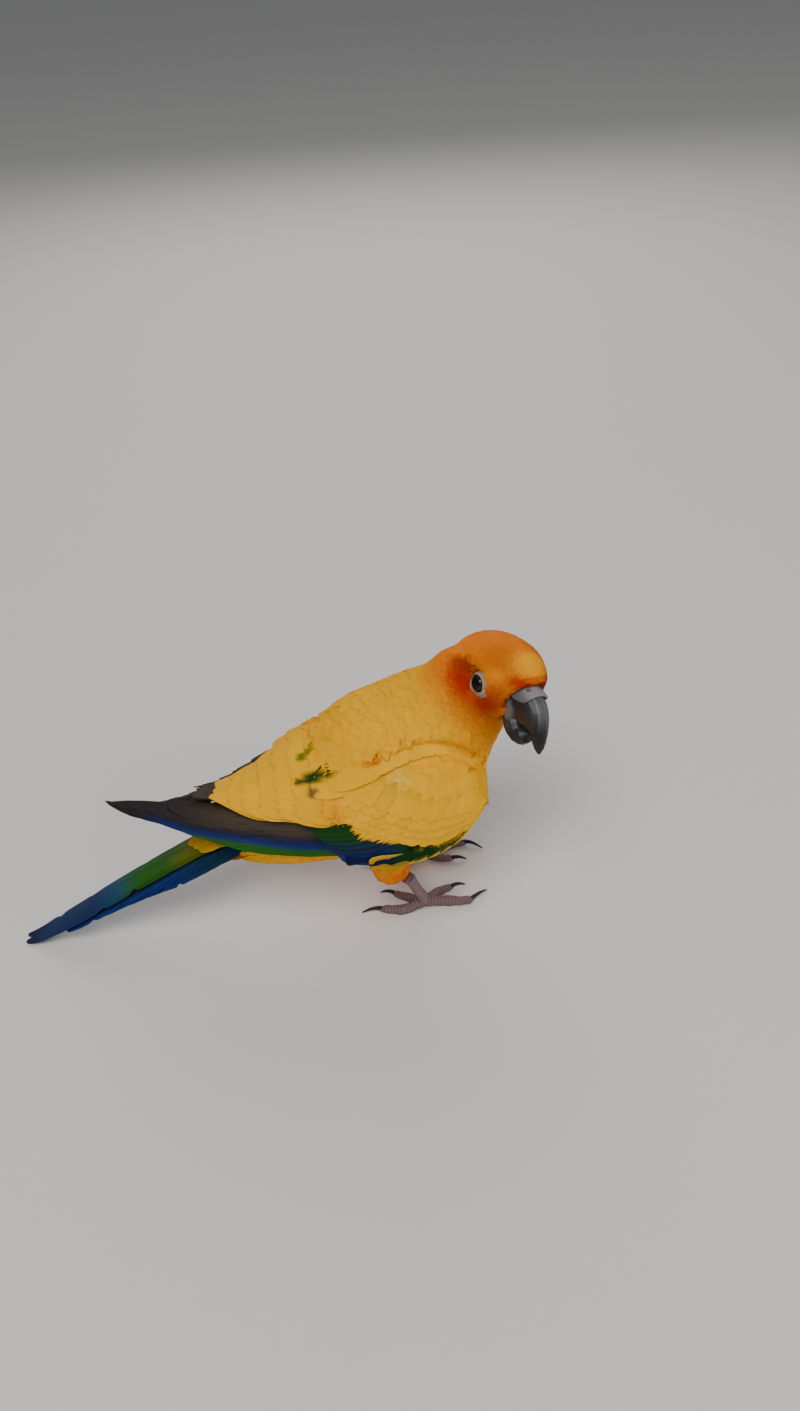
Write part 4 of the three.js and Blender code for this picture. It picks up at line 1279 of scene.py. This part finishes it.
flightPlumage = plumage("vane_plumage", 60, 0.5, 0.3)
softPlumage = plumage("covert_plumage", 30, 0.68, 0.25)
for side, name in sides:
    longPiece(
        f"{name}_flight_feathers", flightMakers(side), flightPlumage, "flight_feathers",
        f"wing_{name}_primaries", f"wing_{name}_secondaries", stations=44, columns=9, slits=4, thickness=0.3)
    longPiece(
        f"{name}_wing_coverts", coverMakers(side), softPlumage, "yellow_feathers",
        f"wing_{name}_coverts", stations=16)
tailMakers = [tailMaker(order, side) for order in range(len(tailSizes)) for side, _ in sides]
longPiece(
    "tail_feathers", tailMakers, flightPlumage, "tail_feathers", "tail", stations=60, columns=9, slits=4,
    thickness=0.3)
longPiece("tail_coverts", tailCoverMakers(), softPlumage, "yellow_feathers", stations=20, thickness=0.25)


# Feathers of the lower back and shoulders, over the wings' upper edges

backEdge = table(  # how far they reach down each wing, as a share of its height
    "x share", (-92, 1.0), (-84, 0.98), (-76, 0.9), (-68, 0.81), (-60, 0.77), (-52, 0.78), (-44, 0.74),
    (-30, 0.7),
)
backShape = dict(length=24, half=5.2, rise=1.2, sunk=3.4, saddle=7)
darkRows = dict(  # between the wings, under the yellow rows
    tips=(-90, -85, -79, -72, -65), count=9, reach=(-0.55, 0.8), level=-1.2, step=0.15, jitter=0.7,
)
goldRows = dict(
    tips=(-81, -75, -69, -62, -55, -48, -41, -34), count=10, reach=0.98, onBack=0.5, level=0.4, step=0.22,
    jitter=0.9,
)


def backPoint(x, v, depth):  # v runs from -1, low on the right wing, to 1, low on the left
    off = np.abs(v)
    share = np.where(off > 0.5, mix(1.0, tableValue(backEdge, "share", x), (off - 0.5) * 2), 1.0)
    right = wingPoint(-1, x, share, depth)
    left = wingPoint(1, x - tuckAt(x), share, depth)
    onWing = np.where((v < 0)[:, None], right, left)
    edgeRight, edgeLeft = (wingPoint(side, x, 1.0 + 0 * x, depth * 0.5) for side, _ in sides)
    across = np.clip(v + 0.5, 0, 1)[:, None]
    saddle = mix(edgeRight, edgeLeft, across)
    arch = depth * 0.7 + ramp(-x, 74, 40) * backShape["saddle"]
    saddle[:, 2] += arch * (4 * across * (1 - across))[:, 0]
    return mix(saddle, onWing, ramp(off, 0.42, 0.58)[:, None])


def yellowBack(s, u):
    return layers("gold", ("amber", ramp(s, 0.5, 0.1) * 0.4), ("lemon", ramp(np.abs(u), 0.6, 1) * 0.25))


def darkBack(s, u):
    return layers("soot", ("umber", 0.7 * ramp(np.abs(u), 1, 0.5)))


def backMaker(tipX, v, level, paint):
    length = backShape["length"] * draw.uniform(0.9, 1.08)
    tone = draw.uniform(0.94, 1.04)
    lean = draw.normal(0, 0.02)

    def make(s, u, thick):
        x = tipX + length * (1 - s)
        half = backShape["half"] * vaneWidth(s, 0.4, 0.3, 0.45, 0.1)
        span = mix(34, 20, ramp(-x, 40, 85))  # width in mm of half of the saddle's v
        at = v * (1 + 0.12 * (1 - s)) + u * half / span
        depth = level + backShape["rise"] * s - backShape["sunk"] * (1 - s) ** 2
        depth = depth + 0.35 * (1 - u**2) + lean * u * half + thick
        point = backPoint(x, at, depth)
        return point, addMarks(paint(s, u), point) * tone
    return make


def backRow(rows, row, count, low, high, paint):  # every other row starts half a feather on
    makers = []
    for n in range(count):
        v = mix(low, high, (n + 0.5 * (row % 2)) / (count - 0.5))
        tipX = rows["tips"][row] + draw.normal(0, rows["jitter"])
        makers.append(backMaker(tipX, v, rows["level"] + rows["step"] * row, paint))
    return makers


def backMakers():
    makers = []
    for row in range(len(darkRows["tips"])):
        makers += backRow(darkRows, row, darkRows["count"], *darkRows["reach"], darkBack)
    for row, tipX in enumerate(goldRows["tips"]):
        reach = goldRows["reach"] if tipX < -44 else goldRows["onBack"]  # the foremost rows stay on the back
        beyond = mix(0.22, goldRows["reach"], float(ramp(tipX, -64, -42)))  # the left wing shows past them
        makers += backRow(goldRows, row, goldRows["count"] + row, -reach, min(reach, beyond), yellowBack)
    return makers


longPiece("back_feathers", backMakers(), softPlumage, "yellow_feathers")


# Eyes, each with a bare ring whose inner edge is the lid

eyeShape = dict(cornea=0.3, iris=0.52, pupil=0.3, span=1.6)  # iris and pupil as shares of a span in radians
ringMesh = dict(around=128, across=40, top=0.7, under=0.3)  # top and underside as shares of a turn
ringLook = dict(lid=0.2, inner=2.8, almond=0.25, rim=1.12, folds=9, beads=44, height=0.07, sunk=0.9)
ringShape = table(  # from the lid's edge, which lies on the eye, out under the feathers
    "x radius side", (0.0, 0.0, 12.05), (0.08, 0.05, 12.5), (0.18, 0.14, 12.78), (0.32, 0.3, 12.55),
    (0.5, 0.52, 12.4), (1.0, 1.12, 12.4),
)


def eyeFinish():
    look = Finish("eye_glass", 0.1, Specular_IOR_Level=0.22)
    angle = look.node("ShaderNodeSeparateColor", None, [look.attribute("tint")])
    pupil, rim = eyeShape["pupil"], eyeShape["iris"]
    black = (0.003, 0.002, 0.002)
    stops = [(0.0, black), (pupil, black), (pupil + 0.03, tints["iris"]),
             (rim - 0.04, tints["iris"] * 0.7), (rim, (0.01, 0.007, 0.006))]
    iris = look.node("ShaderNodeValToRGB", dict(stops=stops), {"Fac": angle})
    grain = look.noise(2600, 4)
    look.paint("Base Color", look.blend(grain * 0.5, iris, tuple(tints["soot"] * 0.3)))
    return look.material


def buildEye(side, name, finish):
    bpy.ops.mesh.primitive_uv_sphere_add(segments=64, ring_count=40, radius=1)
    eye = bpy.context.object
    eye.name = f"{name}_eye_ball"
    way = places(eye)[:, [1, 2, 0]] * [1, side, 1]  # the sphere's pole turned out to the side
    outward = way[:, 1] * side
    reach = eyeSpot["radius"] * (1 + eyeShape["cornea"] * 0.3 * ramp(outward, 0.62, 0.95))
    centre = np.array([eyeSpot["x"], eyeSpot["side"] * side, eyeSpot["z"]])
    setHeadPlaces(eye, centre + way * reach[:, None])
    facedOut(eye)
    angle = np.arccos(np.clip(outward, -1, 1)) / eyeShape["span"]
    finished(eye, np.repeat(angle[:, None], 3, axis=1), finish, "eye", f"eye_{name}")


def skinLevels(side, bearing, radius):  # how far out the skin lies round the eye, and where that is
    x = eyeSpot["x"] + radius * np.cos(np.radians(bearing))
    z = eyeSpot["z"] + radius * np.sin(np.radians(bearing))
    flat = np.stack([x, 0 * radius, z], 1)
    start = fromHead(flat + np.array([0, side * 30, 0]))
    way = unit(fromHead(flat) - start)
    levels = np.empty(len(flat))
    for n in range(len(flat)):
        hit = skinSurface.tree.ray_cast(start[n].tolist(), way[n].tolist())
        levels[n] = 12.0 if hit[0] is None else 30 - hit[3] / headPose["scale"]
    return levels, flat


def buildRing(side, name, finish):
    around, across = ringMesh["around"], ringMesh["across"]
    lidEdge, folds, sunk = ringLook["lid"], ringLook["folds"], ringLook["sunk"]
    bpy.ops.mesh.primitive_torus_add(major_segments=around, minor_segments=across)
    ring = bpy.context.object
    ring.name = f"{name}_eye_ring"
    bearing = np.repeat(np.arange(around) * 360 / around, across)
    bearing = np.where(bearing > 180, bearing - 360, bearing)
    turn = np.tile(np.arange(across) / across, around)
    top = turn < ringMesh["top"]
    below = (turn - ringMesh["top"]) / ringMesh["under"]
    t = np.where(top, turn / ringMesh["top"], 1 - below)
    corners = bell(bearing, -48, 38) + 0.6 * bell(bearing, 132, 40)  # of the lids' almond shape
    inner = ringLook["inner"] + ringLook["almond"] * corners
    reach = tableValue(ringReach, "reach", bearing)
    radius = mix(inner, reach, tableValue(ringShape, "radius", t))
    lid = tableValue(ringShape, "side", t)  # the lid stands on the ball, the rest follows the skin
    ball = np.sqrt(np.maximum(eyeSpot["radius"] ** 2 - radius**2, 0.0)) + eyeSpot["side"]
    lid = np.where(t < lidEdge, np.maximum(lid, ball + mix(-0.25, 0.3, ramp(t, 0, 0.16))), lid)
    edge = np.argmin(np.abs(t[:across] - lidEdge)) + across * np.repeat(np.arange(around), across)
    rim, _ = skinLevels(side, bearing[::across], reach[::across] * ringLook["rim"])
    for _ in range(12):
        rim = (np.roll(rim, 1) + 2 * rim + np.roll(rim, -1)) / 4
    skinLevel, flat = skinLevels(side, bearing, radius)
    outer = mix(lid[edge], np.repeat(rim, across) + 0.4, ramp(t, lidEdge, 0.85))
    outer = np.maximum(outer, skinLevel + 0.3) - ramp(t, 0.84, 1) * sunk
    angle = np.radians(bearing)
    wrinkle = ringLook["height"] * np.sin(radius * folds + np.sin(angle * 5) * 0.8) * ramp(t, lidEdge, 0.35)
    beads = ringLook["height"] * np.cos(angle * ringLook["beads"]) * bell(t, 0.16, 0.05)
    level = np.where(t < lidEdge, lid, outer) + wrinkle + beads
    flat[:, 1] = np.where(top, level, level - sunk * np.sin(np.pi * below)) * side
    setHeadPlaces(ring, flat)
    facedOut(ring)
    shade = layers("lid", ("ring", ramp(t, 0.03, 0.16)), ("ringFold", 0.5 - 0.5 * np.cos(radius * folds)))
    finished(ring, shade, finish, "bare_skin")


eyeGlass = eyeFinish()
ringSkin = ringFinish()
for side, name in sides:
    buildEye(side, name, eyeGlass)
    buildRing(side, name, ringSkin)
print("eyes")


# Bill and cere

billShape = dict(voxel=0.3, rounds=3, notch=0.55, ridge=0.35, flakes=0.05, wall=(-2.6, 0.5, -2.4), jaw=0.82)
cereShape = dict(voxel=0.28, grow=-0.15, rounds=3, nostril=(14.6, 2.9, 2.6))


def streaks(value, seed):  # fine uneven lines along a share
    waves = sum(np.sin(value * k + seed * k) / k**0.5 for k in (5.3, 9.1, 16.7, 31.0))
    return smooth(waves * 0.3 + 0.5)


def buildUpperBill(finish):
    piece = remeshed(copyOf(["upper_bill"], "bill_upper"), billShape["voxel"], 0, billShape["rounds"])
    inHead = headPlaces(piece)
    x, y, z = inHead.T
    side = np.abs(y)
    normal = unit(pointNormals(piece) @ np.linalg.inv(headMatrix[:3, :3] / headPose["scale"]).T)
    ridge = billShape["ridge"] * bell(y, 0, 1.3) * ramp(normal[:, 0], 0.2, 0.8)
    notch = np.exp(-(((x - 15.4) / 1.5) ** 2 + ((z + 12.2) / 1.6) ** 2)) * ramp(side, 0.8, 2.4)
    shift = normal * (ridge - billShape["notch"] * notch)[:, None]
    flakes = billShape["flakes"] * np.sin(z * 3.1 + 2 * np.sin(y * 1.7)) * ramp(z, -4, -10)
    shift += normal * flakes[:, None]
    wall = ramp(z, -5, -9) * ramp(z, -17, -12.5) * ramp(side, 1.2, 3.4) * ramp(x, 18.5, 13)
    back, out, down = billShape["wall"]  # the side wall's lower edge is drawn back and down
    spread = np.sign(inHead) * np.array([0, out, 0])
    shift += wall[:, None] * np.array([back, 0, down]) + wall[:, None] * spread
    setHeadPlaces(piece, inHead + shift)
    # pale streaks along the culmen: a painted reflection of the light on the bill's top, broken into streaks
    # like the horn's grain
    light = streaks(y * 0.55, 1.3) * ramp(side, 5.0, 1.4) * ramp(z, -12, -2)
    edge = ramp(side, 3.4, 4.6) * bell(z, -8.6, 1.1) * ramp(x, 15, 12)
    root = ramp(x + z * 0.4, 9.6, 7.6)
    shade = layers("horn", ("hornLight", light * 0.95), ("hornLight", edge * 0.35), ("cere", root * 0.4))
    finished(piece, shade, finish, "bill_horn", "upper_bill")


def buildLowerBill(finish):
    piece = remeshed(copyOf(["lower_bill"], "bill_lower"), billShape["voxel"], 0, billShape["rounds"])
    inHead = headPlaces(piece)
    inHead[:, 1] *= billShape["jaw"]
    setHeadPlaces(piece, inHead)
    y, z = inHead[:, 1], inHead[:, 2]
    light = streaks(y * 0.8, 2.1) * ramp(z, -17, -12) * 0.25
    # paler band along the upper edge: painted highlight on the tomium
    shade = layers("horn", ("hornLight", light), ("hornLight", ramp(z, -11.6, -9.8) * 0.35))
    finished(piece, shade, finish, "bill_horn", "lower_bill")


def buildCere(finish):
    piece = copyOf(["cere"], "bill_cere")
    remeshed(piece, cereShape["voxel"], cereShape["grow"], cereShape["rounds"])
    inHead = headPlaces(piece)
    nostril = np.linalg.norm(mirrored(inHead) - cereShape["nostril"], axis=1)
    aside = ramp(np.abs(inHead[:, 1]), 2.6, 5.4)
    shade = layers("cere", ("ringFold", streaks(inHead[:, 1] * 0.4, 0.4) * 0.3), ("horn", aside * 0.55),
                   ("horn", ramp(nostril, 1.3, 0.7)))
    finished(piece, shade, finish, "bare_skin", "cere")


billHorn = hornFinish("bill_horn", 0.42, (1, 1, 0.35), 0.3)
buildUpperBill(billHorn)
buildLowerBill(billHorn)
buildCere(ringSkin)
print("bill")


# Feet and claws

footLines = dict(
    outer_front=dict(bend=(9.5, -1.2), end=(20.5, -2.6)),
    inner_front=dict(bend=(8.5, 5.2), end=(14.0, 6.6)),
    outer_rear=dict(bend=(-9.6, -2.3), end=(-19.0, 0.2)),
    inner_rear=dict(bend=(-7.0, 4.6), end=(-12.0, 8.0)),
)
footSpots = dict(
    right=dict(foot=(2, -16, 4.2), ankle=(-4.5, -17.5, 21), side=-1),
    left=dict(foot=(6, 14.5, 4.2), ankle=(-1, 16, 21), side=1),
)
toeHeights = dict(start=3.4, bend=2.6, end=1.7)
scutes = dict(pitch=1.55, groove=0.2, pad=0.35, padPitch=4.6, pebble=0.05, voxel=0.34, grow=0.1)


def toeRuns(name):  # centre lines of the tarsus and toes, each as three points
    spot = footSpots[name]
    foot = np.array(spot["foot"], float)
    runs = [np.array([spot["ankle"], mix(np.array(spot["ankle"]), foot, 0.5), foot], float)]
    for toe in footLines.values():
        bend, end = (
            np.array([foot[0] + toe[key][0], foot[1] - spot["side"] * toe[key][1], toeHeights[key]])
            for key in ("bend", "end"))
        runs.append(np.array([[foot[0], foot[1], toeHeights["start"]], bend, end]))
    return runs


def alongRuns(points, runs):  # how far along the nearest run, and which run that is
    best = np.full(len(points), 99.0)
    reach = np.zeros(len(points))
    which = np.zeros(len(points), int)
    for n, run in enumerate(runs):
        before = 0.0
        for a, b in zip(run[:-1], run[1:]):
            span = np.linalg.norm(b - a)
            t = np.clip((points - a) @ (b - a) / span**2, 0, 1)
            off = np.linalg.norm(points - a - t[:, None] * (b - a), axis=1)
            closer = off < best
            reach = np.where(closer, before + t * span, reach)
            which = np.where(closer, n, which)
            best = np.minimum(best, off)
            before += span
    return reach, which


def buildFoot(name, finish):
    parts = [f"{name}_tarsus"] + [f"{name}_toe_{toe}" for toe in footLines]
    piece = remeshed(copyOf(parts, f"{name}_foot"), scutes["voxel"], scutes["grow"], 3)
    points = toFeet(places(piece))
    normal = pointNormals(piece)
    reach, which = alongRuns(points, toeRuns(name))
    wave = np.abs(np.sin(np.pi * reach / scutes["pitch"]))
    onTop = ramp(np.where(which == 0, normal[:, 0], normal[:, 2]), -0.1, 0.4)
    groove = (1 - wave) ** 3 * onTop * scutes["groove"]
    x, y, z = points.T
    pebble = scutes["pebble"] * np.sin(x * 7.1) * np.sin(y * 6.3) * np.sin(z * 6.7) * (1 - onTop)
    pads = (0.5 - 0.5 * np.cos(2 * np.pi * reach / scutes["padPitch"])) * (1 - onTop) * (which > 0)
    side = ramp(np.abs(normal[:, 2]), 0.8, 0.3)
    moved = points + normal * (pebble - groove + scutes["pad"] * pads * side)[:, None]
    moved[:, 2] = np.maximum(moved[:, 2], 0.02)
    setPlaces(piece, toPart(moved))
    # the soot layer darkens the feet within a millimetre of the floor: painted shade where the toes meet it
    shade = layers(
        "footSkin", ("footTop", onTop * 0.8 * wave), ("footFold", (1 - wave) ** 2 * onTop * 0.8),
        ("footFold", (which > 0) * 0.45), ("soot", ramp(z, 1.2, 0.2) * 0.35))
    finished(piece, shade, finish, "foot_skin", *parts)


def buildClaws(name, finish):
    parts = [f"{name}_claw_{toe}" for toe in footLines]
    piece = remeshed(copyOf(parts, f"{name}_claws"), 0.2, 0.04, 2)
    below = ramp(unit(pointNormals(piece))[:, 2], -0.2, -0.9)
    finished(piece, layers("horn", ("footFold", below * 0.5)), finish, "claw_horn", *parts)


footSkin = hornFinish("scaled_skin", 0.62, (1, 1, 1), 0.3)
clawHorn = hornFinish("claw_horn", 0.38, (0.5, 1, 1), 0.15)
for name in footSpots:
    buildFoot(name, footSkin)
    buildClaws(name, clawHorn)
print("feet")


# Floor, light and camera

studio = dict(
    floor=(0.8, 0.785, 0.76), floorSize=60, sky=(0.8, 0.82, 0.85, 1), skyPower=0.22, aim=(-20, 0, 70),
)
lamps = table(
    "name at size power tone",
    ("key", (-0.35, -0.75, 1.5), 0.8, 16, (1, 0.98, 0.94)),
    ("fill", (0.9, -0.9, 0.7), 1.0, 5, (0.95, 0.97, 1)),
    ("back", (0.2, 1.1, 0.9), 1.0, 6, (1, 1, 1)),
)
cameraPose = dict(at=(-41.83, -334.27, 365.76), target=(5.86, 54.17, 60), roll=-4, focal=1060, high=1411)


def addFloor():
    look = Finish("pale_floor", 0.9)
    darker = tuple(c * 0.985 for c in studio["floor"])
    look.paint("Base Color", look.blend(look.noise(40, 2), darker, studio["floor"]))
    deselect()
    bpy.ops.mesh.primitive_plane_add(size=studio["floorSize"])
    floor = bpy.context.object
    floor.name = "floor"
    floor.data.materials.append(look.material)


def addLamps():
    for row in lamps:
        bpy.ops.object.light_add(type="AREA", location=row["at"])
        lamp = bpy.context.object
        lamp.name = row["name"]
        lamp.data.size = row["size"]
        lamp.data.energy = row["power"]
        lamp.data.color = row["tone"]
        aim = Vector(toPart(studio["aim"])) - Vector(row["at"])
        lamp.rotation_euler = aim.to_track_quat("-Z", "Y").to_euler()
    world = bpy.data.worlds.new("soft")
    world.use_nodes = True
    sky = world.node_tree.nodes["Background"]
    sky.inputs[0].default_value = studio["sky"]
    sky.inputs[1].default_value = studio["skyPower"]
    bpy.context.scene.world = world


def addCamera():
    at = Vector(toPart(cameraPose["at"]))
    ahead = (Vector(toPart(cameraPose["target"])) - at).normalized()
    level = ahead.cross(Vector((0, 0, 1))).normalized()
    upright = level.cross(ahead)
    roll = math.radians(cameraPose["roll"])
    across = level * math.cos(roll) + upright * math.sin(roll)
    up = upright * math.cos(roll) - level * math.sin(roll)
    turn = Matrix((across, up, -ahead)).transposed().to_4x4()
    bpy.ops.object.camera_add()
    camera = bpy.context.object
    camera.matrix_world = Matrix.Translation(at) @ turn
    camera.data.lens = cameraPose["focal"] / cameraPose["high"] * camera.data.sensor_width
    bpy.context.scene.camera = camera


addFloor()
addLamps()
addCamera()
print("stage ready")
